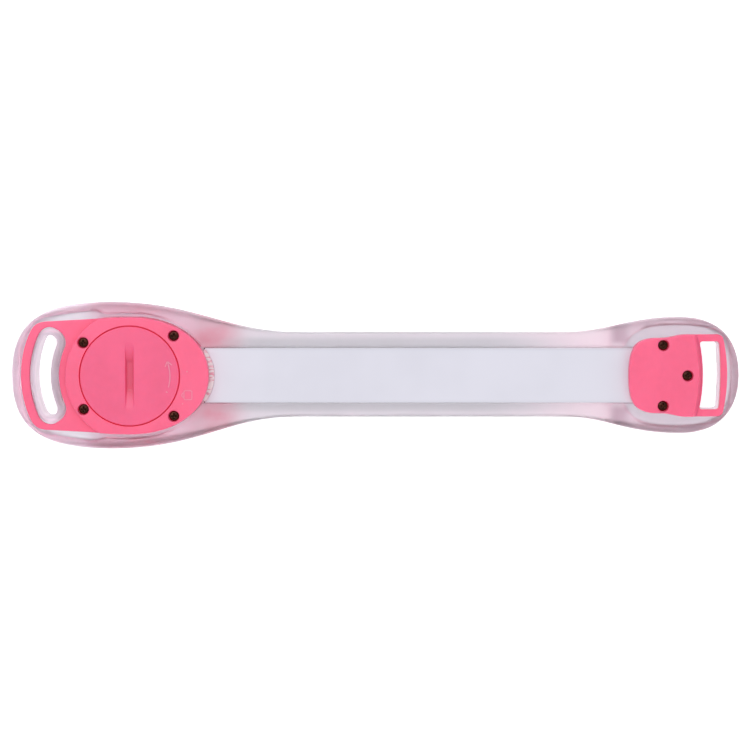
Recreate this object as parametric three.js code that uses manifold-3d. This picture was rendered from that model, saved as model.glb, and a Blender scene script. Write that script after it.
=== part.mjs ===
// A clip-on LED arm band: a milky TPU band with a clear light guide down its middle, a battery housing
// at its wide end and an end clamp at its narrow end, each with a slot for a 20 mm elastic strap.
// Millimetres, +Z up. The band lies on its lit front face, with the arm side and its screws up.
// X runs along the band towards the narrow end, Y across it, and the origin is at the middle of the
// band on the plane that it rests on.

import * as THREE from "three";
import { mergeVertices } from "three/addons/utils/BufferGeometryUtils.js";
import Module from "manifold-3d";

const wasm = await Module();
wasm.setup();

// ---------------------------------------------------------------- driving dimensions

const TIP = 102; // half the overall length
const WIDE_HALF = 20.6; // half widths of the band at its wide end, waist and narrow end
const BAND_HALF = 12;
const NARROW_HALF = 16.4;
const GAP = 0.3; // play between two pieces that lie against each other
const DOOR_TURN = THREE.MathUtils.degToRad(30);
const HEAD_DEPTH = 2.2; // from the cover's face to the underside of a screw's head

// Heights above the plane that the band rests on.
const TPU_FLOOR = 1.8;
const FLANGE_TOP = 3.6; // the thin flange on both sides of the light guide
const WIDE_RIM_TOP = 9.8;
const WIDE_RECESS_FLOOR = 8.5;
const NOSE_GROOVE = 1.3; // the shallow groove that the recess makes round the drum
const NARROW_RIM_TOP = 8;
const NARROW_RECESS_FLOOR = 6.6;
const PARTING = 8.6; // where the front shell meets the rear cover
const COVER_BOTTOM = PARTING + GAP;
const FRAME_TOP = 10.6; // the strap frame of the rear cover
const DRUM_TOP = 12.4; // the raised battery drum of the rear cover
const END_BOTTOM = NARROW_RECESS_FLOOR + GAP;
const END_FRAME_TOP = 9;
const END_TOP = 11;

// The band's rounded edges, as shares of its height at each place along it.
const HULL_INSET = 0.44; // how far the lit face is drawn in from the outline
const HULL_RISE = 0.62; // how high the round from the lit face reaches
const BEAD_ROUND = 0.16; // the radius of the upper edge

// The battery drum, its door and the coin cell.
const CELL_X = -68.6; // the drum's axis
const DRUM_R = 18;
const DOOR_SEAT_R = 14.1;
const DOOR_R = DOOR_SEAT_R - GAP;
const LEDGE_R = 12.9; // the ring that the door's lugs turn under
const LEDGE_TOP = 9.8;
const SPIGOT_R = 12.55;
const SPIGOT_WALL = 1;
const DOOR_UNDER = 10.85;
const CELL_R = 10;
const CELL_BOTTOM = 7.1;
const CELL_THICKNESS = 3.2;

// The light guide.
const GUIDE_HALF = 7.7;
const GUIDE_FROM = -48.3;
const GUIDE_SHOULDER = 74;
const GUIDE_CLEAR_FROM = 60; // the end clamp's cuts round the guide start here, well before the clamp
const GUIDE_TO = 83;
const TONGUE_HALF = 6.2;
const GUIDE_BOTTOM = 2.2;
const GUIDE_TOP = 8.2;

// The strap slots.
const SLOT = { radius: 24.4, half: 2.1, spread: 0.391 }; // the wide slot bends round the battery drum
const WINDOW = { radius: 23.95, half: 4.1, spread: 0.394 }; // the rear cover's window round its collar
const END_ARC_X = 45.7; // the centre of the arcs that bound the end cover's shoulder and slot
const SHOULDER_R = 44.45;
const END_SLOT_FROM_R = 45.9;
const END_SLOT_TO_X = 96.45; // the slot's outer side, an arc of a much larger radius
const END_SLOT_FAR_R = 100;
const END_SLOT_HALF_LENGTH = 9.4;

// The pocket under the end cover.
const CLAMP_FROM = 72.7;
const CLAMP_TO = 89.8;
const CLAMP_HALF = 10.5;
const COVER_LAP = 0.6; // how far the cover laps over the pocket's edge

// The circuit board hangs its parts on its front face.
const BOARD_FRONT = 4.9;
const BOARD_BACK = 5.7;

const HOUSING_SCREWS = [
  [-81.5, 9.3],
  [-81.5, -9.3],
  [-56.3, 11.2],
  [-56.3, -11.2],
];
const END_SCREWS = [
  [80.3, 8.5],
  [80.3, -8.5],
  [87.15, 0],
];
const SCREW_HEAD_R = 1.35;
const SCREW_SHANK_R = 0.85;
const COUNTERBORE_R = 1.55;
const SCREW_HOLE_R = 1;

const CURVE_STEPS = 12;
const BAND_STEPS = 18;
const ROUND_STEPS = 72;
const SMALL_STEPS = 20;
const TALL = 40; // a cut that has to pass right through

// ---------------------------------------------------------------- materials

const material = (color, roughness, metalness = 0) =>
  new THREE.MeshStandardMaterial({ color, roughness, metalness });

const MILKY_TPU = material(0xd9c3cc, 0.45);
const CLEAR_GUIDE = material(0xe9e6f4, 0.15);
const WHITE_FILM = material(0xe1e1ec, 0.4);
const PINK_ABS = material(0xff6b90, 0.4);
const SEAL_RUBBER = material(0xa81c30, 0.6);
const CELL_STEEL = material(0xc9cacb, 0.28, 1);
const CONTACT_METAL = material(0xd8c48c, 0.3, 1);
const SCREW_STEEL = material(0x2f2622, 0.4, 1);
const BOARD_GREEN = material(0x1d6b3f, 0.5);
const BLACK_RESIN = material(0x1b1b1d, 0.6);
const WHITE_RESIN = material(0xf3f1e6, 0.35);
const TAN_CERAMIC = material(0xb08a5c, 0.5);

// ---------------------------------------------------------------- solids

/** A closed geometry as a manifold-3d solid. */
function solidOf(geometry) {
  const bare = geometry.index ? geometry.toNonIndexed() : geometry;
  bare.deleteAttribute("normal");
  bare.deleteAttribute("uv");
  const merged = mergeVertices(bare, 1e-4);
  return new wasm.Manifold(
    new wasm.Mesh({
      numProp: 3,
      vertProperties: merged.attributes.position.array,
      triVerts: new Uint32Array(merged.index.array),
    }),
  );
}

/** A solid as a named mesh. */
function mesh(name, solid, look) {
  const made = solid.getMesh();
  const geometry = new THREE.BufferGeometry();
  geometry.setAttribute("position", new THREE.BufferAttribute(made.vertProperties, 3));
  geometry.setIndex(new THREE.BufferAttribute(made.triVerts, 1));
  geometry.computeVertexNormals();
  const result = new THREE.Mesh(geometry, look);
  result.name = name;
  return result;
}

/** A flat outline pulled up from one height to another. */
function prism(outline, low, high) {
  const geometry = new THREE.ExtrudeGeometry(outline, {
    depth: high - low,
    bevelEnabled: false,
    curveSegments: CURVE_STEPS,
  });
  return solidOf(geometry.translate(0, 0, low));
}

/** An outline drawn in X and Z, pulled out across the band to both sides. */
function crosswise(outline, halfWidth) {
  const geometry = new THREE.ExtrudeGeometry(outline, {
    depth: 2 * halfWidth,
    bevelEnabled: false,
    curveSegments: CURVE_STEPS,
  });
  return solidOf(geometry.rotateX(Math.PI / 2).translate(0, halfWidth, 0));
}

/** A block between two corners. */
function block([x0, y0, z0], [x1, y1, z1]) {
  const geometry = new THREE.BoxGeometry(x1 - x0, y1 - y0, z1 - z0);
  return solidOf(geometry.translate((x0 + x1) / 2, (y0 + y1) / 2, (z0 + z1) / 2));
}

/** An upright cylinder, or a cone where its two radii differ. */
function drum(x, y, radius, low, high, steps = ROUND_STEPS, topRadius = radius) {
  const geometry = new THREE.CylinderGeometry(topRadius, radius, high - low, steps);
  return solidOf(geometry.rotateX(Math.PI / 2).translate(x, y, (low + high) / 2));
}

/** A solid of revolution from [radius, height] points that run up its outside. */
function turned(x, y, profile, steps = ROUND_STEPS) {
  const points = profile.map(([r, z]) => new THREE.Vector2(r, z));
  const geometry = new THREE.LatheGeometry(points, steps);
  return solidOf(geometry.rotateX(Math.PI / 2).translate(x, y, 0));
}

/** A closed outline from its upper half, which runs from the left tip to the right tip. */
function mirrored(upper) {
  return new THREE.Shape(mirroredPoints(upper, CURVE_STEPS));
}

/** The points of a closed outline from its upper half: over the top to the right tip, and back below. */
function mirroredPoints(upper, steps) {
  const points = upper.getPoints(steps);
  const lower = points.slice(1, -1).reverse();
  return [...points, ...lower.map((p) => new THREE.Vector2(p.x, -p.y))];
}

/** A piece of a ring round the drum's axis, between two radii and two angles. */
function ringSector(inner, outer, from, to) {
  const shape = new THREE.Shape();
  shape.absarc(CELL_X, 0, outer, from, to, false);
  shape.absarc(CELL_X, 0, inner, to, from, true);
  return shape;
}

// ---------------------------------------------------------------- outlines

/** The upper half of the band's outline, seen from above. */
function bandHalf() {
  return new THREE.Path()
    .moveTo(-TIP, 0)
    .bezierCurveTo(-TIP, 15, -94, WIDE_HALF, -74, WIDE_HALF)
    .bezierCurveTo(-50, WIDE_HALF, -42, BAND_HALF, -22, BAND_HALF)
    .lineTo(52, BAND_HALF)
    .bezierCurveTo(66, BAND_HALF, 70, NARROW_HALF, 85.5, NARROW_HALF)
    .bezierCurveTo(96, NARROW_HALF, TIP, 10.5, TIP, 0);
}

/** The height of the band's upper surface at x: high at both ends and low at the waist. */
function bandHeight(x) {
  const { smootherstep } = THREE.MathUtils;
  const wide = smootherstep(-x, 24, 60) * (WIDE_RIM_TOP - FLANGE_TOP);
  const narrow = smootherstep(x, 54, 76) * (NARROW_RIM_TOP - FLANGE_TOP);
  return FLANGE_TOP + wide + narrow;
}

/** The rear cover seen from above, grown by a margin. */
function rearOutline(grow = 0) {
  return mirrored(
    new THREE.Path()
      .moveTo(-99.1 - grow, 0)
      .bezierCurveTo(-99.1 - grow, 5, -98 - grow, 9, -96.4 - grow, 12.4)
      .bezierCurveTo(-95.2 - grow, 14.6 + grow, -94 - grow, 15.1 + grow, -91, 15.2 + grow)
      .lineTo(-80, 15.8 + grow)
      .bezierCurveTo(-76, 16.1 + grow, -72, 16.3 + grow, CELL_X, 16.3 + grow)
      .bezierCurveTo(-56, 16.3 + grow, -46.6 + grow, 9.8, -46.6 + grow, 0),
  );
}

/** The shallow recess round the rear cover's strap frame. */
function wideRecess() {
  return mirrored(
    new THREE.Path()
      .moveTo(-99.6, 0)
      .bezierCurveTo(-99.6, 8, -97.6, 15.9, -91.6, 16.8)
      .lineTo(-81, 18.3)
      .bezierCurveTo(-78, 18.7, -76.5, 17.4, -74, 16.9)
      .lineTo(-72, 0),
  );
}

/** The battery drum and its nose: the right part of the rear cover's outline. */
function drumAndNose(grow, low, high) {
  const roundPart = drum(CELL_X, 0, DRUM_R + grow, low, high);
  const nosePart = block([CELL_X, -WIDE_HALF, low], [0, WIDE_HALF, high]);
  return prism(rearOutline(grow), low, high).intersect(roundPart.add(nosePart));
}

/** A slot bent round the drum's axis, with round ends: the wide strap slot, or the window round it. */
function curvedSlot({ radius, half, spread }) {
  const shape = new THREE.Shape();
  const from = Math.PI - spread;
  const to = Math.PI + spread;
  const end = (angle) => [CELL_X + radius * Math.cos(angle), radius * Math.sin(angle)];
  shape.absarc(CELL_X, 0, radius + half, from, to, false);
  shape.absarc(...end(to), half, to, to + Math.PI, false);
  shape.absarc(CELL_X, 0, radius - half, to, from, true);
  shape.absarc(...end(from), half, from + Math.PI, from + 2 * Math.PI, false);
  return shape;
}

/** The narrow end's strap slot: two arcs, closed by straight ends. */
function endSlot(low, high, grow = 0) {
  const farX = END_SLOT_TO_X - END_SLOT_FAR_R;
  const outer = drum(farX, 0, END_SLOT_FAR_R + grow, low, high, 4 * ROUND_STEPS);
  const inner = drum(END_ARC_X, 0, END_SLOT_FROM_R, low - 1, high + 1, 2 * ROUND_STEPS);
  const half = END_SLOT_HALF_LENGTH + grow;
  return outer.subtract(inner).intersect(block([80, -half, low], [TIP, half, high]));
}

/** The end cover seen from above, drawn in by a margin. */
function endOutline(pull = 0) {
  return mirrored(
    new THREE.Path()
      .moveTo(70.7 + pull, 0)
      .bezierCurveTo(70.7 + pull, 7, 72 + pull, 10.4 - pull, 78.5, 10.5 - pull)
      .bezierCurveTo(83.5, 10.5 - pull, 83.5, 11.5 - pull, 87, 11.5 - pull)
      .lineTo(95.2, 11.5 - pull)
      .bezierCurveTo(96.6 - pull, 11.5 - pull, 97.1 - pull, 11, 97.3 - pull, 10.1)
      .bezierCurveTo(98 - pull, 7, 98.4 - pull, 3.5, 98.4 - pull, 0),
  );
}

/** The space under the end cover that the clamp's inner block fills, drawn in by a margin. */
function clampSpace(pull, low, high) {
  const half = CLAMP_HALF - pull;
  return prism(endOutline(COVER_LAP + pull), low, high).intersect(
    block([CLAMP_FROM + pull, -half, low], [CLAMP_TO - pull, half, high]),
  );
}

/** The shallow recess round the end cover. */
function narrowRecess() {
  return mirrored(
    new THREE.Path()
      .moveTo(69.6, 0)
      .lineTo(69.6, 8.2)
      .bezierCurveTo(71.5, 12.6, 76, 14.2, 83, 14.3)
      .bezierCurveTo(92, 14.3, 96.6, 13, 98.1, 10.6)
      .bezierCurveTo(99.2, 8.5, 99.6, 4, 99.6, 0),
  );
}

// ---------------------------------------------------------------- the band and its light guide

/** The band's outer form: its outline in rings, with a deep round below and a bead's round above. */
function bandBlank() {
  const outline = mirroredPoints(bandHalf(), BAND_STEPS);
  const count = outline.length;
  const rings = [];
  const quarterTurns = (steps) =>
    Array.from({ length: steps + 1 }, (_, i) => (i / steps) * (Math.PI / 2));
  for (const turn of quarterTurns(6)) {
    rings.push({ pull: HULL_INSET * (1 - Math.sin(turn)), up: HULL_RISE * (1 - Math.cos(turn)) });
  }
  for (const turn of quarterTurns(5)) {
    rings.push({ pull: BEAD_ROUND * (1 - Math.cos(turn)), up: 1 - BEAD_ROUND * (1 - Math.sin(turn)) });
  }

  const vertices = [];
  for (const { pull, up } of rings) {
    outline.forEach((point, i) => {
      const before = outline[(i + count - 1) % count];
      const after = outline[(i + 1) % count];
      const along = after.clone().sub(before).normalize();
      const height = bandHeight(point.x);
      vertices.push(point.x + along.y * pull * height, point.y - along.x * pull * height, up * height);
    });
  }

  const triangles = [];
  const add = (...corners) => {
    if (new Set(corners).size === 3) triangles.push(...corners);
  };
  for (let ring = 0; ring < rings.length - 1; ring++) {
    for (let i = 0; i < count; i++) {
      const [a, b] = [ring * count + i, ring * count + ((i + 1) % count)];
      add(a, a + count, b + count);
      add(a, b + count, b);
    }
  }
  const top = (rings.length - 1) * count;
  for (let i = 0; i < count / 2; i++) {
    const [near, far, acrossNear] = [i, i + 1, (count - i) % count];
    const acrossFar = count - i - 1;
    add(top + acrossNear, top + acrossFar, top + far);
    add(top + acrossNear, top + far, top + near);
    add(acrossNear, far, acrossFar);
    add(acrossNear, near, far);
  }
  const geometry = new THREE.BufferGeometry();
  geometry.setAttribute("position", new THREE.Float32BufferAttribute(vertices, 3));
  geometry.setIndex(triangles);
  return solidOf(geometry);
}

/** The milky one-piece band, with its pockets, light channel, strap slots and button hole. */
function tpuBody() {
  const collarTop = FRAME_TOP - GAP;
  const collar = { ...WINDOW, half: WINDOW.half - GAP };
  return bandBlank()
    .subtract(prism(wideRecess(), WIDE_RECESS_FLOOR, TALL))
    .subtract(drumAndNose(NOSE_GROOVE, WIDE_RECESS_FLOOR, TALL))
    .subtract(drumAndNose(GAP, TPU_FLOOR, TALL))
    .subtract(prism(narrowRecess(), NARROW_RECESS_FLOOR, TALL))
    .subtract(clampSpace(0, TPU_FLOOR, TALL))
    .subtract(block([-56, -GUIDE_HALF - GAP, TPU_FLOOR], [76, GUIDE_HALF + GAP, TALL]))
    .add(prism(curvedSlot(collar), WIDE_RECESS_FLOOR - 1, collarTop))
    .subtract(prism(curvedSlot(SLOT), -1, TALL))
    .subtract(endSlot(-1, TALL))
    .subtract(drum(CELL_X, 0, 6.4, -1, TPU_FLOOR + 1));
}

/** The clear bar that carries the light, with a narrower tongue that the end clamp grips. */
function lightGuide() {
  return block(
    [GUIDE_FROM, -GUIDE_HALF, GUIDE_BOTTOM],
    [GUIDE_SHOULDER, GUIDE_HALF, GUIDE_TOP],
  ).add(
    block([GUIDE_SHOULDER - 1, -TONGUE_HALF, GUIDE_BOTTOM], [GUIDE_TO, TONGUE_HALF, GUIDE_TOP]),
  );
}

/** The white film behind the guide. Its end near the battery is cut to a hollow arc. */
function reflectorFilm() {
  const low = GUIDE_TOP + 0.05;
  const half = GUIDE_HALF - 0.1;
  return block([-49, -half, low], [73.5, half, low + 0.2]).subtract(
    drum(-56.8, 0, 12, 0, TALL),
  );
}

// ---------------------------------------------------------------- the battery housing

/** The inner half of the battery housing, with its screw bosses, board posts and button bore. */
function frontShell() {
  const wall = 1.4;
  const floor = 2.1;
  const floorTop = 3;
  const bosses = HOUSING_SCREWS.map(([x, y]) => drum(x, y, 2, floor, PARTING, SMALL_STEPS));
  const pilots = HOUSING_SCREWS.map(([x, y]) => drum(x, y, SCREW_HOLE_R, 3.6, TALL, SMALL_STEPS));
  const cup = drumAndNose(0, floor, PARTING).subtract(drumAndNose(-wall, floorTop, TALL));
  const posts = [60, 180, 300].map((degrees) => {
    const angle = THREE.MathUtils.degToRad(degrees);
    const [x, y] = [CELL_X + 11.5 * Math.cos(angle), 11.5 * Math.sin(angle)];
    return drum(x, y, 1, floor, BOARD_FRONT - GAP, SMALL_STEPS);
  });
  return [...bosses, ...posts]
    .reduce((sum, upright) => sum.add(upright), cup)
    .intersect(drumAndNose(0, floor, PARTING))
    .subtract(pilots.reduce((sum, pilot) => sum.add(pilot)))
    .subtract(block([-54, -GUIDE_HALF - GAP, GUIDE_BOTTOM - GAP], [-40, GUIDE_HALF + GAP, TALL]))
    .subtract(drum(CELL_X, 0, 5.9, 0, TALL));
}

/** The outer half of the battery housing: drum, strap frame, door seat and screw seats. */
function rearCover() {
  const cover = prism(rearOutline(), COVER_BOTTOM, FRAME_TOP)
    .add(drumAndNose(0, COVER_BOTTOM, DRUM_TOP))
    .subtract(prism(curvedSlot(WINDOW), 0, TALL))
    .subtract(drum(CELL_X, 0, DOOR_SEAT_R, LEDGE_TOP, TALL))
    .subtract(drum(CELL_X, 0, LEDGE_R, 0, TALL));
  const notches = lugAngles(DOOR_TURN).map((angle) =>
    prism(ringSector(LEDGE_R - 1, LEDGE_R + 0.7, angle - 0.19, angle + 0.19), 0, LEDGE_TOP + 1),
  );
  const seats = HOUSING_SCREWS.map(([x, y]) => screwSeat(x, y, DRUM_TOP));
  return [...notches, ...seats].reduce((rest, cut) => rest.subtract(cut), cover);
}

/** The middle angles of the three bayonet lugs, after a turn of the door. */
function lugAngles(turn = 0) {
  return [90, 210, 330].map((degrees) => THREE.MathUtils.degToRad(degrees) + turn);
}

/** The round door, with a coin slot outside and a spigot with three lugs inside. */
function batteryDoor() {
  const spigotBottom = 7.4;
  const inner = SPIGOT_R - SPIGOT_WALL;
  const bossR = 9.9;
  const bossBottom = 10.45;
  const body = turned(CELL_X, 0, [
    [0, bossBottom],
    [bossR, bossBottom],
    [bossR, DOOR_UNDER],
    [inner, DOOR_UNDER],
    [inner, spigotBottom],
    [SPIGOT_R, spigotBottom],
    [SPIGOT_R, DOOR_UNDER],
    [DOOR_R, DOOR_UNDER],
    [DOOR_R, DRUM_TOP - 0.3],
    [DOOR_R - 0.3, DRUM_TOP],
    [0, DRUM_TOP],
  ]);
  const coinR = 34;
  const slotDepth = 1.3;
  const slotWidth = 2.2;
  const coin = solidOf(
    new THREE.CylinderGeometry(coinR, coinR, slotWidth, 160)
      .rotateZ(Math.PI / 2)
      .translate(CELL_X, 0, DRUM_TOP - slotDepth + coinR),
  );
  const lugs = lugAngles().map((angle) =>
    prism(
      ringSector(SPIGOT_R - 0.5, LEDGE_R - 0.12, angle - 0.14, angle + 0.14),
      spigotBottom,
      COVER_BOTTOM - GAP,
    ),
  );
  return lugs.reduce((sum, lug) => sum.add(lug), body.subtract(coin));
}

/** The rubber ring that the door squeezes against its seat. */
function doorSeal() {
  const section = 0.46;
  const ring = new THREE.TorusGeometry(13.25, section, 8, ROUND_STEPS);
  return solidOf(ring.translate(CELL_X, 0, (LEDGE_TOP + DOOR_UNDER) / 2));
}

/** A 20 mm coin cell, 3.2 mm thick, with its smaller negative face down. */
function coinCell() {
  const top = CELL_BOTTOM + CELL_THICKNESS;
  return turned(CELL_X, 0, [
    [0, CELL_BOTTOM],
    [8.7, CELL_BOTTOM],
    [8.9, CELL_BOTTOM + 0.25],
    [9.6, CELL_BOTTOM + 0.25],
    [CELL_R, CELL_BOTTOM + 0.6],
    [CELL_R, top - 0.25],
    [CELL_R - 0.25, top],
    [0, top],
  ]);
}

/** The cup that holds the cell over the circuit board. */
function cellTray() {
  const low = 6;
  const floorTop = 6.6;
  const cup = turned(CELL_X, 0, [
    [3.4, low],
    [13.4, low],
    [13.4, floorTop],
    [11.2, floorTop],
    [11.2, 9.5],
    [10.35, 9.5],
    [10.35, floorTop],
    [3.4, floorTop],
    [3.4, low],
  ]);
  return cup.subtract(block([CELL_X - 11.6, -1.8, 0], [CELL_X - 9.6, 1.8, TALL]));
}

/** The strip that stands against the cell's side, its foot soldered to the board. */
function positiveContact() {
  const thick = 0.2;
  const foot = BOARD_BACK + 0.04;
  const near = CELL_X - CELL_R - 0.12;
  return block([near - thick, -1.4, foot], [near, 1.4, 9.2]).add(
    block([near - 2.4, -1.4, foot], [near, 1.4, foot + thick]),
  );
}

/** The bent leaf that presses up on the cell's negative face. */
function negativeContact() {
  const foot = BOARD_BACK + 0.04;
  const touch = CELL_BOTTOM - 0.08;
  const leaf = new THREE.Shape()
    .moveTo(CELL_X - 2.6, foot)
    .lineTo(CELL_X + 2.6, foot)
    .lineTo(CELL_X + 2.8, foot + 0.2)
    .lineTo(CELL_X + 0.4, touch)
    .lineTo(CELL_X - 1.8, touch)
    .lineTo(CELL_X - 1.8, touch - 0.2)
    .lineTo(CELL_X + 0.2, touch - 0.2)
    .lineTo(CELL_X + 1.9, foot + 0.2)
    .lineTo(CELL_X - 2.6, foot + 0.2);
  return crosswise(leaf, 1.2);
}

/** The board: a disc under the cell, with a tab that reaches the light guide. */
function circuitBoard() {
  return drum(CELL_X, 0, 13.2, BOARD_FRONT, BOARD_BACK).add(
    block([CELL_X, -6, BOARD_FRONT], [-49.4, 6, BOARD_BACK]),
  );
}

/** A small component on the board's front face, centred at x and y. */
function onBoard(x, y, length, width, height) {
  const top = BOARD_FRONT - 0.03;
  return block(
    [x - length / 2, y - width / 2, top - height],
    [x + length / 2, y + width / 2, top],
  );
}

/** The push switch's case, open where its plunger comes out. */
function switchBody() {
  return onBoard(CELL_X, 0, 4.5, 4.5, 0.87).subtract(
    drum(CELL_X, 0, 1, 0, BOARD_FRONT - 0.12, SMALL_STEPS),
  );
}

/** The button on the lit side: a shallow dome, with a flange that keeps it in the shell. */
function buttonCap() {
  return turned(CELL_X, 0, [
    [0, 0.6],
    [2, 0.62],
    [3.8, 0.72],
    [5, 0.92],
    [5.6, 1.3],
    [5.6, 3.12],
    [6.5, 3.12],
    [6.5, 3.5],
    [0, 3.5],
  ]);
}

// ---------------------------------------------------------------- the end clamp and the screws

/** The room that the light guide and its tongue need inside the end clamp, up to a level. */
function guideRoom(top) {
  const tongue = TONGUE_HALF + GAP;
  const half = GUIDE_HALF + GAP;
  return block([GUIDE_CLEAR_FROM, -tongue, 0], [GUIDE_TO + GAP, tongue, top]).add(
    block([GUIDE_CLEAR_FROM, -half, 0], [GUIDE_SHOULDER + GAP, half, top]),
  );
}

/** The block inside the narrow end that the end screws bite into, open round the guide's tongue. */
function endAnchor() {
  const low = 2.1;
  const pilots = END_SCREWS.map(([x, y]) => drum(x, y, SCREW_HOLE_R, 2.9, TALL, SMALL_STEPS));
  const body = clampSpace(GAP, low, NARROW_RECESS_FLOOR).subtract(guideRoom(TALL));
  return pilots.reduce((rest, pilot) => rest.subtract(pilot), body);
}

/** The cover of the narrow end: a raised body with a round shoulder, and the strap frame. */
function endCover() {
  const cavityTop = 8.75;
  const slope = 1.1;
  const shoulder = drum(
    END_ARC_X,
    0,
    SHOULDER_R + slope,
    END_FRAME_TOP - 0.1,
    END_TOP,
    2 * ROUND_STEPS,
    SHOULDER_R,
  );
  const cover = prism(endOutline(), END_BOTTOM, END_FRAME_TOP)
    .add(prism(endOutline(), END_FRAME_TOP - 0.1, END_TOP).intersect(shoulder))
    .subtract(guideRoom(cavityTop))
    .subtract(endSlot(0, TALL, 0.15));
  const seats = END_SCREWS.map(([x, y]) => screwSeat(x, y, END_TOP));
  return seats.reduce((rest, seat) => rest.subtract(seat), cover);
}

/** The counterbore and through hole that one screw needs in a cover. */
function screwSeat(x, y, face) {
  return drum(x, y, COUNTERBORE_R, face - HEAD_DEPTH - 0.1, TALL, SMALL_STEPS).add(
    drum(x, y, SCREW_HOLE_R, 0, TALL, SMALL_STEPS),
  );
}

/** One small screw with a cross recess, sunk in its counterbore. */
function screw(x, y, face, tip) {
  const under = face - HEAD_DEPTH;
  const top = under + 1.1;
  const slot = 0.22;
  const reach = 0.8;
  const body = turned(
    x,
    y,
    [
      [0, tip],
      [SCREW_SHANK_R, tip + 0.9],
      [SCREW_SHANK_R, under],
      [SCREW_HEAD_R, under],
      [SCREW_HEAD_R, top - 0.35],
      [SCREW_HEAD_R - 0.3, top],
      [0, top],
    ],
    SMALL_STEPS,
  );
  return body
    .subtract(block([x - reach, y - slot, top - 0.5], [x + reach, y + slot, top + 1]))
    .subtract(block([x - slot, y - reach, top - 0.5], [x + slot, y + reach, top + 1]));
}

// ---------------------------------------------------------------- assembly

const band = new THREE.Group();
band.add(
  mesh("tpu_body", tpuBody(), MILKY_TPU),
  mesh("light_guide", lightGuide(), CLEAR_GUIDE),
  mesh("reflector_film", reflectorFilm(), WHITE_FILM),
);

const housing = new THREE.Group();
housing.add(
  mesh("front_shell", frontShell(), PINK_ABS),
  mesh("rear_cover", rearCover(), PINK_ABS),
  mesh("battery_door", batteryDoor(), PINK_ABS),
  mesh("door_seal", doorSeal(), SEAL_RUBBER),
  mesh("coin_cell", coinCell(), CELL_STEEL),
  mesh("cell_tray", cellTray(), BLACK_RESIN),
  mesh("positive_contact", positiveContact(), CONTACT_METAL),
  mesh("negative_contact", negativeContact(), CONTACT_METAL),
  mesh("button_cap", buttonCap(), PINK_ABS),
);
HOUSING_SCREWS.forEach(([x, y], index) =>
  housing.add(mesh(`housing_screw_${index + 1}`, screw(x, y, DRUM_TOP, 4.4), SCREW_STEEL)),
);

const electronics = new THREE.Group();
electronics.add(
  mesh("circuit_board", circuitBoard(), BOARD_GREEN),
  mesh("led_upper", onBoard(-49.8, 3.4, 1.4, 3, 1.2), WHITE_RESIN),
  mesh("led_lower", onBoard(-49.8, -3.4, 1.4, 3, 1.2), WHITE_RESIN),
  mesh("driver_chip", onBoard(-59.2, 0, 3.4, 4.2, 1), BLACK_RESIN),
  mesh("capacitor", onBoard(-77.6, 4.2, 1.25, 2, 0.9), TAN_CERAMIC),
  mesh("timing_resistor", onBoard(-77.8, -1.6, 0.8, 1.6, 0.45), BLACK_RESIN),
  mesh("led_resistor", onBoard(-77.8, -4.6, 0.8, 1.6, 0.45), BLACK_RESIN),
  mesh("switch_body", switchBody(), BLACK_RESIN),
  mesh("switch_plunger", drum(CELL_X, 0, 0.85, 3.7, 4.3, SMALL_STEPS), WHITE_RESIN),
);

const clamp = new THREE.Group();
clamp.add(
  mesh("end_anchor", endAnchor(), PINK_ABS),
  mesh("end_cover", endCover(), PINK_ABS),
);
END_SCREWS.forEach(([x, y], index) =>
  clamp.add(mesh(`end_screw_${index + 1}`, screw(x, y, END_TOP, 3.4), SCREW_STEEL)),
);

const armLight = new THREE.Group();
armLight.add(band, housing, electronics, clamp);
export default armLight;
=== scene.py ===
"""Looks for a clip-on LED arm band, built round its packed mechanical frame.

The band is a milky soft skin with a clear light guide down its middle. A battery housing with a round
door fills its wide end, and an end clamp closes its narrow end. Each sub-assembly is a class that holds
its sizes as fields. Those sizes are millimetres, in the frame's own axes: +X runs towards the narrow
end and +Z up to the arm side. Meshes are made in metres.
"""

import logging
import math
from collections.abc import Callable, Iterable, Mapping, Sequence
from dataclasses import dataclass
from enum import Enum

import bmesh
import bpy
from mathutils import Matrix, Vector
from mathutils.geometry import delaunay_2d_cdt


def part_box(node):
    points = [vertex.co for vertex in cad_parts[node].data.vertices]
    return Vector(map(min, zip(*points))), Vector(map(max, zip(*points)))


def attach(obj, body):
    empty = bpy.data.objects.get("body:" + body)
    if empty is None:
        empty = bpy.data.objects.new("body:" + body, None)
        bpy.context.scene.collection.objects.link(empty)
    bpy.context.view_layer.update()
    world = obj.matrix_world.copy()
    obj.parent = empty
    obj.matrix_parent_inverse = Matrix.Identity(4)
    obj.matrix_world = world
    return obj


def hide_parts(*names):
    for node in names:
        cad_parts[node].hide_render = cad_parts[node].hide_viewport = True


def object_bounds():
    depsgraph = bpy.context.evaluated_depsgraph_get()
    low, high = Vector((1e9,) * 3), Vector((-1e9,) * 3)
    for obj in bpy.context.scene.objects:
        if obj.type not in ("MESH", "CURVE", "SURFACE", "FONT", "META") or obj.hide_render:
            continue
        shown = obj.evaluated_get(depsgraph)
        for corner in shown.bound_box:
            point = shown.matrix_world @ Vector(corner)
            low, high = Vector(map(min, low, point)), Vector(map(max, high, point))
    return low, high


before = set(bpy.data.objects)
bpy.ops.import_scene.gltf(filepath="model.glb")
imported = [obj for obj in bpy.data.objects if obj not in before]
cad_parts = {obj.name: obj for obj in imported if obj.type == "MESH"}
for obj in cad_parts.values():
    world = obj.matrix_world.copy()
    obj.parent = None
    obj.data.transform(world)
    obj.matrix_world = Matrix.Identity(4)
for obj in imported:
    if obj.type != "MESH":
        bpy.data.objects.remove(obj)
CAD_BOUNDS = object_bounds()

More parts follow.
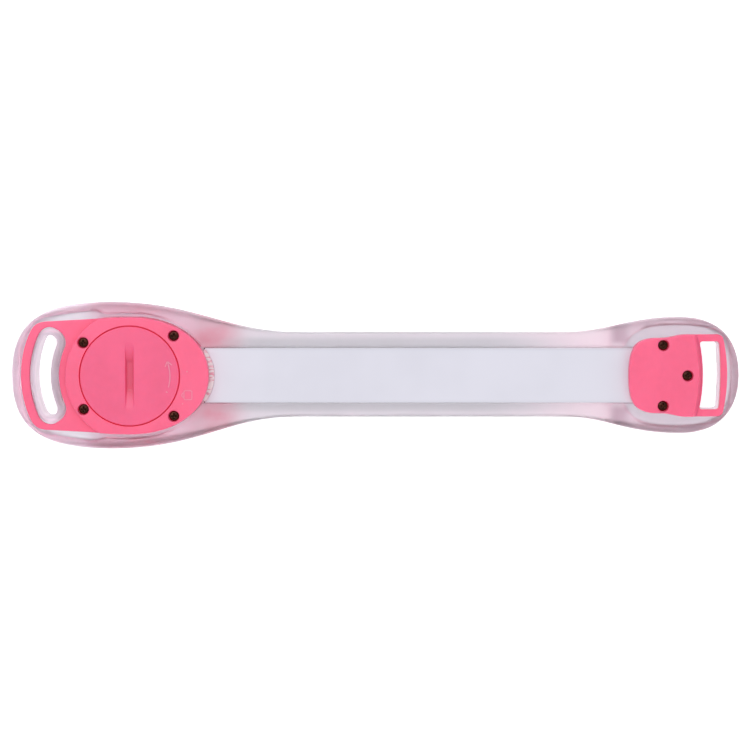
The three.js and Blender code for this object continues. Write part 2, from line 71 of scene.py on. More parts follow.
MM = 0.001
SHARP_FROM = math.radians(48)  # edges that turn further than this stay crisp
EDGE_STEPS = 4  # stretches round a rounded edge
WELD_GAP = 0.004  # the frame's points closer than this are one point
LOG = logging.getLogger("arm_band")

Point = tuple[float, float]
Span = tuple[float, float]
Loop = list[Point]
Ring = list[int]  # the numbers of a closed ring's points in its mesh
Colour = tuple[float, float, float]
UNLIT: Colour = (0.0, 0.0, 0.0)


class Body(Enum):
    """The rigid bodies of the frame that the made pieces ride on."""

    BAND = "band"
    DOOR = "door"
    CELL = "cell"
    BUTTON = "button"


class Slot(Enum):
    """The record's material slots that the made pieces take."""

    TPU = "milky_tpu"
    GUIDE = "clear_guide"
    FILM = "white_film"
    PINK = "pink_abs"
    SEAL = "seal_rubber"
    CELL = "cell_steel"
    CONTACT = "contact_metal"
    SCREW = "screw_steel"
    WHITE = "white_resin"


# ------------------------------------------------------------------ shader graphs


class Socket:
    """An output socket on which Python's operators build Math nodes."""

    def __init__(self, graph: "Graph", output: bpy.types.NodeSocket) -> None:
        """Wraps one output of the graph."""
        self.graph = graph
        self.output = output

    def _math(self, operation: str, left: "Value", right: "Value") -> "Socket":
        """Adds one Math node.

        Args:
            operation: The Math node's operation.
            left: Its first operand.
            right: Its second operand.

        Returns:
            The node's result.
        """
        made = self.graph.node("ShaderNodeMath", {"operation": operation}, {0: left, 1: right})
        return Socket(self.graph, made.outputs[0])

    def __add__(self, other: "Value") -> "Socket":
        """self + other."""
        return self._math("ADD", self, other)

    def __radd__(self, other: "Value") -> "Socket":
        """other + self."""
        return self._math("ADD", other, self)

    def __sub__(self, other: "Value") -> "Socket":
        """self - other."""
        return self._math("SUBTRACT", self, other)

    def __rsub__(self, other: "Value") -> "Socket":
        """other - self."""
        return self._math("SUBTRACT", other, self)

    def __mul__(self, other: "Value") -> "Socket":
        """self * other."""
        return self._math("MULTIPLY", self, other)

    def __rmul__(self, other: "Value") -> "Socket":
        """other * self."""
        return self._math("MULTIPLY", other, self)

    def __pow__(self, other: "Value") -> "Socket":
        """self ** other."""
        return self._math("POWER", self, other)

    def __abs__(self) -> "Socket":
        """The absolute value."""
        return self._math("ABSOLUTE", self, 0.0)

    def step(self, low: float, high: float) -> "Socket":
        """Rises smoothly from 0 at low to 1 at high.

        Args:
            low: The value that gives 0.
            high: The value that gives 1.

        Returns:
            The smoothed mask.
        """
        made = self.graph.node(
            "ShaderNodeMapRange",
            {"interpolation_type": "SMOOTHSTEP"},
            {"Value": self, "From Min": low, "From Max": high},
        )
        return Socket(self.graph, made.outputs["Result"])

    def over(self, low: float, high: float) -> "Socket":
        """The same smooth rise for a length, whose two limits are in millimetres."""
        return self.step(low * MM, high * MM)


Value = float | Socket


class Graph:
    """The node graph of one material, round one Principled shader."""

    def __init__(self, name: str) -> None:
        """Makes the material and its shader."""
        self.material = bpy.data.materials.new(name)
        self.material.use_nodes = True
        self.tree = self.material.node_tree
        self.tree.nodes.clear()
        self.shader = self.node("ShaderNodeBsdfPrincipled")
        output = self.node("ShaderNodeOutputMaterial")
        self.tree.links.new(self.shader.outputs[0], output.inputs["Surface"])
        self.place = self.node("ShaderNodeTexCoord").outputs["Object"]

    def node(
        self,
        kind: str,
        settings: Mapping[str, object] | None = None,
        sockets: Mapping[str | int, object] | None = None,
    ) -> bpy.types.Node:
        """Adds a node of any type.

        Args:
            kind: The node's type.
            settings: Its properties, set first.
            sockets: Values or links for its input sockets.

        Returns:
            The node.
        """
        made = self.tree.nodes.new(kind)
        for key, value in (settings or {}).items():
            setattr(made, key, value)
        for key, value in (sockets or {}).items():
            self.feed(made.inputs[key], value)
        return made

    def feed(self, target: bpy.types.NodeSocket, value: object) -> None:
        """Links or sets one input socket.

        Args:
            target: The input.
            value: A Socket, a raw output socket, a colour or a number.
        """
        if isinstance(value, Socket):
            self.tree.links.new(value.output, target)
        elif isinstance(value, bpy.types.NodeSocket):
            self.tree.links.new(value, target)
        elif target.type == "RGBA" and len(value) == 3:
            target.default_value = (*value, 1.0)
        else:
            target.default_value = value

    def surface(self, **sockets: object) -> bpy.types.Material:
        """Feeds the Principled shader, with underscores for the spaces in its sockets' names.

        Args:
            **sockets: Values or links, such as Base_Color or Coat_Weight.

        Returns:
            The finished material.
        """
        for key, value in sockets.items():
            self.feed(self.shader.inputs[key.replace("_", " ")], value)
        return self.material

    def axis(self, name: str) -> Socket:
        """One of the piece's own coordinates, X, Y or Z, in metres."""
        made = self.node("ShaderNodeSeparateXYZ", None, {0: self.place})
        return Socket(self, made.outputs[name])

    def stretched(self, factors: Colour) -> bpy.types.NodeSocket:
        """The piece's coordinates, each times its own factor."""
        made = self.node("ShaderNodeVectorMath", {"operation": "MULTIPLY"}, {0: self.place, 1: factors})
        return made.outputs[0]

    def noise(self, size: float, detail: float = 2.0, place: object = None) -> Socket:
        """Noise from 0 to 1.

        Args:
            size: The size of its features, in millimetres.
            detail: How many finer octaves are added.
            place: Coordinates other than the piece's own.

        Returns:
            The noise.
        """
        sockets = {"Vector": place or self.place, "Scale": 1 / (size * MM), "Detail": detail}
        return Socket(self, self.node("ShaderNodeTexNoise", None, sockets).outputs["Fac"])

    def cells(self, size: float) -> Socket:
        """The distance to the nearest of many scattered points, a given number of millimetres apart."""
        made = self.node("ShaderNodeTexVoronoi", None, {"Vector": self.place, "Scale": 1 / (size * MM)})
        return Socket(self, made.outputs["Distance"])

    def waves(self, spacing: float, direction: str) -> Socket:
        """Straight, evenly spaced ridges.

        Args:
            spacing: The distance between ridges, in millimetres.
            direction: The axis that the ridges follow each other along.

        Returns:
            The ridges, from 0 to 1.
        """
        kind = {"wave_type": "BANDS", "bands_direction": direction}
        scale = math.pi / 10 / (spacing * MM)
        made = self.node("ShaderNodeTexWave", kind, {"Vector": self.place, "Scale": scale})
        return Socket(self, made.outputs["Fac"])

    def mix(self, factor: Value, first: object, second: object) -> bpy.types.NodeSocket:
        """Mixes two colours.

        Args:
            factor: 0 for the first colour and 1 for the second.
            first: A colour or a link.
            second: A colour or a link.

        Returns:
            The mixed colour.
        """
        made = self.node("ShaderNodeMix", {"data_type": "RGBA"}, {0: factor, 6: first, 7: second})
        return made.outputs[2]

    def bump(self, height: Socket, depth: float, under: object = None) -> bpy.types.NodeSocket:
        """A bumped normal.

        Args:
            height: The height, from 0 to 1.
            depth: The real height of the bumps, in millimetres.
            under: Another bumped normal to add these bumps to.

        Returns:
            The normal.
        """
        sockets = {"Height": height, "Distance": depth * MM, "Strength": 1.0}
        if under is not None:
            sockets["Normal"] = under
        return self.node("ShaderNodeBump", None, sockets).outputs["Normal"]


# ------------------------------------------------------------------ finishes


def tone(red: int, green: int, blue: int) -> Colour:
    """A linear colour from 8-bit display values.

    Args:
        red: The red channel.
        green: The green channel.
        blue: The blue channel.

    Returns:
        The linear colour.
    """

    def linear(level: int) -> float:
        """One channel made linear."""
        share = level / 255
        return share / 12.92 if share <= 0.04045 else ((share + 0.055) / 1.055) ** 2.4

    return linear(red), linear(green), linear(blue)


def scaled(colour: Colour, factor: float) -> Colour:
    """A colour times a factor."""
    red, green, blue = (min(1.0, channel * factor) for channel in colour)
    return red, green, blue


@dataclass(frozen=True)
class Finish:
    """A finish, which makes its material once and then gives it to every piece that wears it."""

    name: str

    def material(self) -> bpy.types.Material:
        """The finish's material, made on first use."""
        return bpy.data.materials.get(self.name) or self.make(Graph(self.name))

    def make(self, graph: Graph) -> bpy.types.Material:
        """Builds the material's nodes in an empty graph."""
        raise NotImplementedError


@dataclass(frozen=True)
class MouldedPlastic(Finish):
    """Satin plastic with a spark-eroded grain and faint flow marks. A painted red glow, emitted in its
    narrow gaps, stands in for light reddened there, and painted shade darkens a coin slot's deep middle.
    """

    colour: Colour
    roughness: float = 0.42
    grain_depth: float = 0.006
    subsurface: float = 0.3
    gaps_round: tuple[str, ...] = ()
    # Painted glow: the colour emitted in the narrow gaps.
    gap_glow: Colour = (0.12, 0.002, 0.008)
    gap_middle: float = 0.15
    gap_edge: Span = (0.2, 0.26)
    gap_depth: Span = (0.3, 0.08)
    # Painted shade: the deep middle of the named piece's slot takes this darker red.
    slotted: str = ""
    slot_shade: Colour = (0.78, 0.09, 0.19)
    slot_edge: Span = (0.85, 1.2)
    slot_depth: Span = (1.3, 0.2)

    def gaps(self, graph: Graph) -> Value:
        """A mask of the narrow gaps round the turned pieces that sit in the moulding, where the painted
        red glow goes.

        Args:
            graph: The material's graph.

        Returns:
            1 in the gaps, and 0 elsewhere.
        """
        x, y, z = (graph.axis(name) for name in "XYZ")
        mask: Value = 0.0
        for node in sorted(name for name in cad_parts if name.startswith(self.gaps_round)):
            low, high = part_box(node)
            centre, radius = (low + high) / 2, (high.x - low.x) / 2
            away = ((x - centre.x) ** 2 + (y - centre.y) ** 2) ** 0.5
            ring = 1 - abs(away - radius - self.gap_middle * MM).over(*self.gap_edge)
            deep, shallow = (high.z - depth * MM for depth in self.gap_depth)
            mask = mask + ring * (1 - z.step(deep, shallow))
        return mask

    def make(self, graph: Graph) -> bpy.types.Material:
        """Builds the material's nodes in an empty graph."""
        flow = graph.noise(9.0, 3.0, graph.stretched((1.0, 0.45, 1.0)))
        cloud = graph.noise(2.2, 2.0)
        shade = (flow * 0.65 + cloud * 0.35).step(0.3, 0.7)
        colour = graph.mix(shade, scaled(self.colour, 0.95), scaled(self.colour, 1.03))
        speck = 1 - graph.cells(1.7).step(0.03, 0.075)
        colour = graph.mix(speck * 0.1, colour, scaled(self.colour, 0.8))
        # Painted shade in the coin slot's deep middle.
        if self.slotted:
            low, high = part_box(self.slotted)
            inside = 1 - abs(graph.axis("X") - (low.x + high.x) / 2).over(*self.slot_edge)
            deep, shallow = (high.z - depth * MM for depth in self.slot_depth)
            under = 1 - graph.axis("Z").step(deep, shallow)
            colour = graph.mix(inside * under, colour, self.slot_shade)
        # Painted red glow in the narrow gaps, as emission.
        if self.gaps_round:
            graph.surface(
                Emission_Color=graph.mix(self.gaps(graph), UNLIT, self.gap_glow),
                Emission_Strength=1.0,
            )
        grain = graph.noise(0.11, 2.0) * 0.7 + graph.noise(0.045, 1.0) * 0.3
        return graph.surface(
            Base_Color=colour,
            Roughness=self.roughness - 0.05 + cloud * 0.1,
            Normal=graph.bump(grain, self.grain_depth, graph.bump(flow, 0.02)),
            Subsurface_Weight=self.subsurface,
            Subsurface_Radius=(1.0, 0.2, 0.3),
            Subsurface_Scale=1.4 * MM,
            IOR=1.53,
            Specular_IOR_Level=0.45,
        )


@dataclass(frozen=True)
class MilkySkin(Finish):
    """Soft translucent polymer, grey at the waist. Much of its colour is painted light: pink colour bleed
    from the pink housings over the drum, in the narrow pocket's flare and round the nose; lighter, pinker
    beads as painted highlight and reflection; painted shade beside the guide and in the crease by the
    narrow rim; and a painted glow emitted by the wide frame's rim.
    """

    waist: Colour
    shade: Colour
    frame_pocket: Colour
    drum_pocket: Colour
    narrow_pocket: Colour
    narrow_flare: Colour
    frame_bead: Colour
    drum_bead: Colour
    narrow_bead: Colour
    collar: Colour
    crease_shade: Colour
    glow: Colour
    rim_light: Colour
    transmission: float = 0.84
    waist_x: float = -2.0
    waist_to_ends: Span = (30.0, 64.0)
    frame_to_drum: Span = (-84.0, -76.0)
    wide_to_narrow: Span = (0.0, 20.0)
    above_face: Span = (1.0, 4.0)
    wide_rim: Span = (40.0, 62.0)
    wide_pocket_level: float = 8.5
    narrow_rim: Span = (60.0, 74.0)
    narrow_pocket_level: float = 6.6
    off_pocket: Span = (0.2, 0.7)
    collar_start: Span = (-97.5, -96.0)
    collar_end: Span = (84.0, 87.0)
    collar_half: Span = (11.5, 13.0)
    guide_side: Span = (9.4, 11.2)
    nose_x: float = -46.0
    nose_y: float = 11.0
    nose_glow: Span = (1.0, 11.0)
    fold_x: float = 68.6
    fold_reach: Span = (0.6, 3.6)
    fold_side: Span = (8.0, 10.0)
    pocket_start: Span = (69.2, 71.0)

    def raised_edges(self, x: Socket, z: Socket) -> Socket:
        """A mask of the raised rims round the two ends.

        Args:
            x: The place along the band.
            z: The height over the lit face.

        Returns:
            1 on the rims, and 0 on the pockets' floors and the waist.
        """
        wide = (-1 * x).over(*self.wide_rim) * abs(z - self.wide_pocket_level * MM).over(*self.off_pocket)
        narrow = x.over(*self.narrow_rim) * abs(z - self.narrow_pocket_level * MM).over(*self.off_pocket)
        return wide + narrow

    def make(self, graph: Graph) -> bpy.types.Material:
        """Builds the material's nodes in an empty graph."""
        x, z = graph.axis("X"), graph.axis("Z")
        y = abs(graph.axis("Y"))
        cloud = graph.noise(6.0, 3.0, graph.stretched((0.6, 1.0, 1.0))).step(0.35, 0.7)
        ends = abs(x - self.waist_x * MM).over(*self.waist_to_ends)
        drum = x.over(*self.frame_to_drum)
        narrow = x.over(*self.wide_to_narrow)
        raised = z.over(*self.above_face)
        # Painted highlight and painted pink reflection of the housings: the raised rims are coloured
        # lighter and pinker.
        bead = self.raised_edges(x, z) * raised * (0.75 + cloud * 0.25)
        collar = x.over(*self.collar_start) * (-1 * x).over(*self.collar_end)
        collar = collar * (1 - y.over(*self.collar_half)) * raised
        # Painted shade beside the light guide.
        beside_guide = (1 - ends) * (1 - y.over(*self.guide_side))
        # Painted pink glow round the housing's nose, in the base colour.
        from_nose = ((x - self.nose_x * MM) ** 2 + (y - self.nose_y * MM) ** 2) ** 0.5
        glow = (1 - from_nose.over(*self.nose_glow)) * (0.45 + cloud * 0.55)
        # Painted shade in the crease where the narrow pocket's rim rises.
        crease_shade = (1 - abs(x - self.fold_x * MM).over(*self.fold_reach)) * y.over(*self.fold_side)
        # The pockets' pink over the drum and at the narrow pocket's flare is painted colour bleed from the
        # pink housings.
        wide_pocket = graph.mix(drum, self.frame_pocket, self.drum_pocket)
        narrow_pocket = graph.mix(x.over(*self.pocket_start), self.narrow_flare, self.narrow_pocket)
        wide_bead = graph.mix(drum, self.frame_bead, self.drum_bead)
        colour = graph.mix(ends, self.waist, graph.mix(narrow, wide_pocket, narrow_pocket))
        colour = graph.mix(beside_guide, colour, self.shade)
        # Painted highlight and pink reflection on the beads.
        colour = graph.mix(bead, colour, graph.mix(narrow, wide_bead, self.narrow_bead))
        colour = graph.mix(collar, colour, self.collar)
        # The painted crease shade is mixed in here.
        colour = graph.mix(crease_shade * 0.8, colour, self.crease_shade)
        colour = graph.mix(glow, colour, self.glow)
        # Painted glow: the wide frame's rim emits a faint pink light.
        frame_rim = (1 - drum) * bead * (1 - collar)
        skin = graph.noise(0.22, 2.0) * 0.6 + graph.noise(0.07, 1.0) * 0.4
        wave = graph.noise(5.0, 2.0)
        smears = graph.noise(3.5, 4.0, graph.stretched((0.4, 1.0, 1.0)))
        return graph.surface(
            Base_Color=colour,
            Roughness=0.24 + smears * 0.2,
            Normal=graph.bump(skin, 0.006, graph.bump(wave, 0.08)),
            Transmission_Weight=self.transmission,
            Subsurface_Weight=0.8,
            Subsurface_Radius=(1.0, 0.8, 0.85),
            Subsurface_Scale=2.5 * MM,
            Emission_Color=graph.mix(frame_rim, UNLIT, self.rim_light),
            Emission_Strength=1.0,
            IOR=1.42,
        )


@dataclass(frozen=True)
class ClearPlastic(Finish):
    """Clear acrylic with fine draw lines across it and a few smears."""

    colour: Colour

    def make(self, graph: Graph) -> bpy.types.Material:
        """Builds the material's nodes in an empty graph."""
        smears = graph.noise(4.0, 4.0)
        lines = graph.waves(0.8, "X")
        return graph.surface(
            Base_Color=graph.mix(smears, self.colour, scaled(self.colour, 1.06)),
            Roughness=0.05 + smears.step(0.4, 0.9) * 0.12,
            Normal=graph.bump(lines, 0.01, graph.bump(smears, 0.04)),
            Transmission_Weight=1.0,
            IOR=1.49,
        )


@dataclass(frozen=True)
class HighlightFacets(Finish):
    """Lightly frosted facets at the guide's mouth. Their bright white is a painted highlight, streaked
    with a painted pink reflection of the housing beside them.
    """

    colour: Colour
    pink_reflection: Colour

    def make(self, graph: Graph) -> bpy.types.Material:
        """Builds the material's nodes in an empty graph."""
        streaks = graph.noise(0.9, 2.0, graph.stretched((0.35, 1.0, 1.0)))
        frost = graph.noise(0.15, 2.0)
        return graph.surface(
            # White painted highlight, streaked with the housing's painted pink reflection.
            Base_Color=graph.mix(streaks.step(0.46, 0.62), self.colour, self.pink_reflection),
            Roughness=0.14 + frost * 0.12,
            Normal=graph.bump(frost, 0.008),
            Transmission_Weight=0.2,
            IOR=1.49,
        )


@dataclass(frozen=True)
class ReflectorFilm(Finish):
    """Pearly white film with a rolled grain along it, and painted shade that darkens it a little along its
    two long edges.
    """

    colour: Colour
    edge: Span

    def make(self, graph: Graph) -> bpy.types.Material:
        """Builds the material's nodes in an empty graph."""
        rolled = graph.noise(0.5, 3.0, graph.stretched((0.06, 1.0, 1.0)))
        cloud = graph.noise(18.0, 2.0)
        # Painted shade along the film's two long edges.
        edge = abs(graph.axis("Y")).over(*self.edge)
        pearl = graph.mix(cloud.step(0.3, 0.7), scaled(self.colour, 0.975), scaled(self.colour, 1.02))
        return graph.surface(
            Base_Color=graph.mix(edge * 0.5, pearl, scaled(self.colour, 0.88)),
            Roughness=0.28 + rolled * 0.16,
            Normal=graph.bump(rolled, 0.006, graph.bump(cloud, 0.06)),
            Coat_Weight=0.15 + cloud * 0.1,
            Sheen_Weight=0.1,
            IOR=1.5,
        )


@dataclass(frozen=True)
class Metal(Finish):
    """Plated or bare metal with fine drawn lines, stains and small scratches."""

    colour: Colour
    stain: Colour
    roughness: float = 0.3
    line_spacing: float = 0.12

    def make(self, graph: Graph) -> bpy.types.Material:
        """Builds the material's nodes in an empty graph."""
        cloud = graph.noise(1.3, 4.0)
        scratch = graph.noise(0.25, 3.0, graph.stretched((0.08, 1.0, 1.0)))
        fine = graph.noise(self.line_spacing, 2.0, graph.stretched((1.0, 0.12, 1.0)))
        return graph.surface(
            Base_Color=graph.mix(cloud.step(0.45, 0.75) * 0.6, self.colour, self.stain),
            Roughness=self.roughness + scratch * 0.14 - 0.05,
            Normal=graph.bump(fine, 0.004, graph.bump(scratch, 0.004)),
            Metallic=0.94 + cloud * 0.06,
        )


@dataclass(frozen=True)
class SolderMask(Finish):
    """A lacquered board, with raised tracks under the lacquer and bare tinned vias."""

    colour: Colour
    track: Colour
    via: Colour

    def make(self, graph: Graph) -> bpy.types.Material:
        """Builds the material's nodes in an empty graph."""
        across = graph.waves(1.5, "X").step(0.62, 0.68)
        along = graph.waves(2.1, "Y").step(0.66, 0.72)
        regions = graph.noise(5.0, 1.0).step(0.49, 0.51)
        tracks = across * regions + along * (1 - regions)
        via = 1 - graph.cells(2.6).step(0.1, 0.13)
        lacquer = graph.mix(tracks, self.colour, self.track)
        return graph.surface(
            Base_Color=graph.mix(via, lacquer, self.via),
            Roughness=0.3 + graph.noise(0.9, 2.0) * 0.12 - via * 0.05,
            Metallic=via * 0.9,
            Normal=graph.bump(tracks + via * 0.5, 0.035),
        )


@dataclass(frozen=True)
class Resin(Finish):
    """Moulded or fired component body, matt and slightly pitted, with a dusting of lighter filler."""

    colour: Colour
    roughness: float = 0.55
    gloss: float = 0.0

    def make(self, graph: Graph) -> bpy.types.Material:
        """Builds the material's nodes in an empty graph."""
        pits = graph.cells(0.18).step(0.1, 0.5)
        dust = graph.noise(0.6, 4.0).step(0.5, 0.8)
        return graph.surface(
            Base_Color=graph.mix(dust * 0.25, self.colour, scaled(self.colour, 1.5)),
            Roughness=self.roughness + dust * 0.12 - pits * 0.08,
            Normal=graph.bump(pits, 0.012, graph.bump(dust, 0.01)),
            Coat_Weight=self.gloss + dust * 0.02,
        )


@dataclass(frozen=True)
class Rubber(Finish):
    """Soft moulded rubber with a bloom of lighter dust."""

    colour: Colour

    def make(self, graph: Graph) -> bpy.types.Material:
        """Builds the material's nodes in an empty graph."""
        bloom = graph.noise(1.1, 4.0).step(0.4, 0.8)
        skin = graph.noise(0.12, 3.0)
        return graph.surface(
            Base_Color=graph.mix(bloom * 0.4, self.colour, scaled(self.colour, 1.5)),
            Roughness=0.5 + bloom * 0.2,
            Normal=graph.bump(skin, 0.01),
            Specular_IOR_Level=0.4,
        )


@dataclass(frozen=True)
class StudioPaper(Finish):
    """Plain pale paper for the floor, lit a little from behind."""

    colour: Colour
    glow: float = 0.7

    def make(self, graph: Graph) -> bpy.types.Material:
        """Builds the material's nodes in an empty graph."""
        fibre = graph.noise(0.4, 3.0)
        return graph.surface(
            Base_Color=graph.mix(fibre, self.colour, scaled(self.colour, 1.01)),
            Roughness=0.9,
            Specular_IOR_Level=0.1,
            Emission_Color=(1.0, 1.0, 1.0),
            Emission_Strength=self.glow,
        )


# The cover's pink, with a painted red glow in the gaps round the door and the screws.
PINK = MouldedPlastic(
    "pink_moulding",
    tone(252, 102, 141),
    gaps_round=("battery_door", "housing_screw", "end_screw"),
)
# The door's pink, with a painted red glow round its edge and painted shade in its coin slot.
DOOR_PINK = MouldedPlastic(
    "door_moulding",
    tone(242, 96, 138),
    roughness=0.36,
    gaps_round=("battery_door",),
    slotted="battery_door",
)
# Lighter pink for the small marks: a painted highlight, as their edges catch the light.
HIGHLIGHT_PINK = MouldedPlastic("mark_highlight", tone(255, 142, 170), roughness=0.3)
SKIN = MilkySkin(
    "milky_skin",
    waist=tone(227, 221, 228),
    shade=tone(210, 207, 213),
    frame_pocket=tone(226, 230, 236),
    drum_pocket=tone(213, 192, 206),
    narrow_pocket=tone(217, 213, 221),
    narrow_flare=tone(238, 224, 232),
    frame_bead=tone(254, 234, 244),
    drum_bead=tone(246, 199, 217),
    narrow_bead=tone(234, 196, 212),
    collar=tone(210, 190, 202),
    crease_shade=tone(190, 162, 178),
    glow=tone(216, 150, 168),
    rim_light=(0.17, 0.08, 0.12),
)
CLEAR = ClearPlastic("clear_acrylic", tone(246, 243, 252))
# Painted highlight white and painted pink reflection for the guide's mouth.
FACETS = HighlightFacets("facet_highlight", tone(255, 252, 255), tone(246, 176, 198))
# The film's edge span is where its painted shade runs.
FILM = ReflectorFilm("reflector_film", tone(220, 219, 231), edge=(6.7, 7.6))
DARK_NICKEL = Metal("dark_nickel", tone(66, 40, 33), tone(112, 66, 50), roughness=0.26)
CAN_STEEL = Metal("can_steel", tone(205, 206, 208), tone(170, 168, 164), roughness=0.26)
BRONZE = Metal("spring_bronze", tone(222, 196, 140), tone(180, 146, 96), roughness=0.3)
TINNED = Metal("tinned_joint", tone(200, 202, 206), tone(160, 160, 160), roughness=0.35)
MASK = SolderMask("solder_mask", tone(22, 92, 56), tone(44, 128, 76), tone(205, 190, 150))
BLACK = Resin("black_resin", tone(34, 34, 36))
WHITE = Resin("white_resin", tone(240, 238, 228), roughness=0.35, gloss=0.2)
PHOSPHOR = Resin("led_phosphor", tone(236, 206, 96), roughness=0.3, gloss=0.5)
CERAMIC = Resin("fired_ceramic", tone(176, 138, 96), roughness=0.45)
SEAL_RUBBER = Rubber("seal_rubber", tone(168, 22, 42))
GASKET = Rubber("cell_gasket", tone(58, 60, 62))
PAPER = StudioPaper("studio_paper", (0.93, 0.93, 0.93))


# ------------------------------------------------------------------ outlines


def bezier(start: Point, first: Point, second: Point, end: Point, steps: int = 24) -> Loop:
    """Points along a cubic curve.

    Args:
        start: Where it starts.
        first: Its first control point.
        second: Its second control point.
        end: Where it ends.
        steps: How many stretches it is cut into.

    Returns:
        The points, both ends included.
    """
    points = []
    for step in range(steps + 1):
        t = step / steps
        weights = ((1 - t) ** 3, 3 * t * (1 - t) ** 2, 3 * t * t * (1 - t), t**3)
        corners = (start, first, second, end)
        x, y = (sum(w * corner[axis] for w, corner in zip(weights, corners)) for axis in (0, 1))
        points.append((x, y))
    return points


def polar(centre: Point, radius: float, degrees: float) -> Point:
    """The point at a distance from a centre, in a direction that is given in degrees."""
    turn = math.radians(degrees)
    return centre[0] + radius * math.cos(turn), centre[1] + radius * math.sin(turn)


def arc(centre: Point, radius: float, start: float, end: float, steps: int = 24) -> Loop:
    """Points along an arc.

    Args:
        centre: Its centre.
        radius: Its radius.
        start: The angle that it starts at, in degrees.
        end: The angle that it ends at, in degrees.
        steps: How many stretches it is cut into.

    Returns:
        The points, both ends included.
    """
    return [polar(centre, radius, start + (end - start) * step / steps) for step in range(steps + 1)]


def circle(centre: Point, radius: float, steps: int = 96) -> Loop:
    """Points round a whole circle, anticlockwise."""
    return arc(centre, radius, 0, 360, steps)[:-1]


def mirrored(upper: Loop) -> Loop:
    """A closed anticlockwise outline from its upper half, which runs from the left tip to the right."""
    lower = [(x, -y) for x, y in upper]
    return lower[:-1] + upper[:0:-1]


def evenly(loop: Loop, count: int) -> Loop:
    """Spaces a closed outline's points evenly along it.

    Args:
        loop: The outline.
        count: How many points it gets.

    Returns:
        The new outline, which starts at the same point.
    """
    closed = [*loop, loop[0]]
    lengths = [math.dist(a, b) for a, b in zip(closed, closed[1:])]
    stride = sum(lengths) / count
    points, index, before = [], 0, 0.0
    for step in range(count):
        wanted = step * stride
        while before + lengths[index] < wanted and index < len(lengths) - 1:
            before += lengths[index]
            index += 1
        share = (wanted - before) / max(lengths[index], 1e-9)
        (x0, y0), (x1, y1) = closed[index], closed[index + 1]
        points.append((x0 + (x1 - x0) * share, y0 + (y1 - y0) * share))
    return points


def inset(loop: Loop, distance: float) -> Loop:
    """Moves each point of an anticlockwise outline inwards, or outwards where distance is negative.

    Args:
        loop: The outline.
        distance: How far each point moves.

    Returns:
        The moved outline.
    """
    points = []
    for (ax, ay), (bx, by), (cx, cy) in zip([loop[-1], *loop[:-1]], loop, [*loop[1:], loop[0]]):
        dx, dy = cx - ax, cy - ay
        size = math.hypot(dx, dy) or 1.0
        points.append((bx - dy / size * distance, by + dx / size * distance))
    return points


def rounded_rectangle(centre: Point, half_x: float, half_y: float, corner: float, steps: int) -> Loop:
    """A rectangle with round corners.

    Args:
        centre: Its centre.
        half_x: Half its size along X.
        half_y: Half its size along Y.
        corner: The radius of its corners.
        steps: How many stretches each corner has.

    Returns:
        The anticlockwise outline.
    """
    loop = []
    for start, (right, up) in zip(range(0, 360, 90), ((1, 1), (-1, 1), (-1, -1), (1, -1))):
        turn = (centre[0] + right * (half_x - corner), centre[1] + up * (half_y - corner))
        loop += arc(turn, corner, start, start + 90, steps)
    return loop


def bent_slot(
    centre_x: float, radius: float, half_length: float, half_width: float, corner: float, side: int
) -> Loop:
    """A rectangle with round corners, bent round an axis that stands on the band's middle line.

    Args:
        centre_x: The axis's place along the band.
        radius: The radius of the rectangle's middle line.
        half_length: Half its length along the arc.
        half_width: Half its width across the arc.
        corner: The radius of its corners.
        side: 1 where the slot lies on the axis's +X side, and -1 where it lies on its -X side.

    Returns:
        The anticlockwise outline.
    """
    flat = rounded_rectangle((0.0, 0.0), half_width, half_length, corner, 10)
    bent = []
    for across, along in evenly(flat, 140):
        angle = along / radius
        reach = radius + across
        bent.append((centre_x + side * reach * math.cos(angle), side * reach * math.sin(angle)))
    return bent


def quarter_round(radius: float, steps: int = EDGE_STEPS) -> list[tuple[float, float]]:
    """How a quarter circle falls from a flat face to the wall beside it.

    Args:
        radius: The circle's radius.
        steps: How many stretches it has.

    Returns:
        The drop below the face and the pull in from the wall, at each of its points.
    """
    angles = [math.pi / 2 * step / steps for step in range(steps + 1)]
    return [(radius * (1 - math.cos(a)), radius * (1 - math.sin(a))) for a in angles]


def smooth_rise(share: float) -> float:
    """A smooth step from 0 to 1, held outside that range."""
    held = min(1.0, max(0.0, share))
    return held * held * (3 - 2 * held)


# ------------------------------------------------------------------ meshes


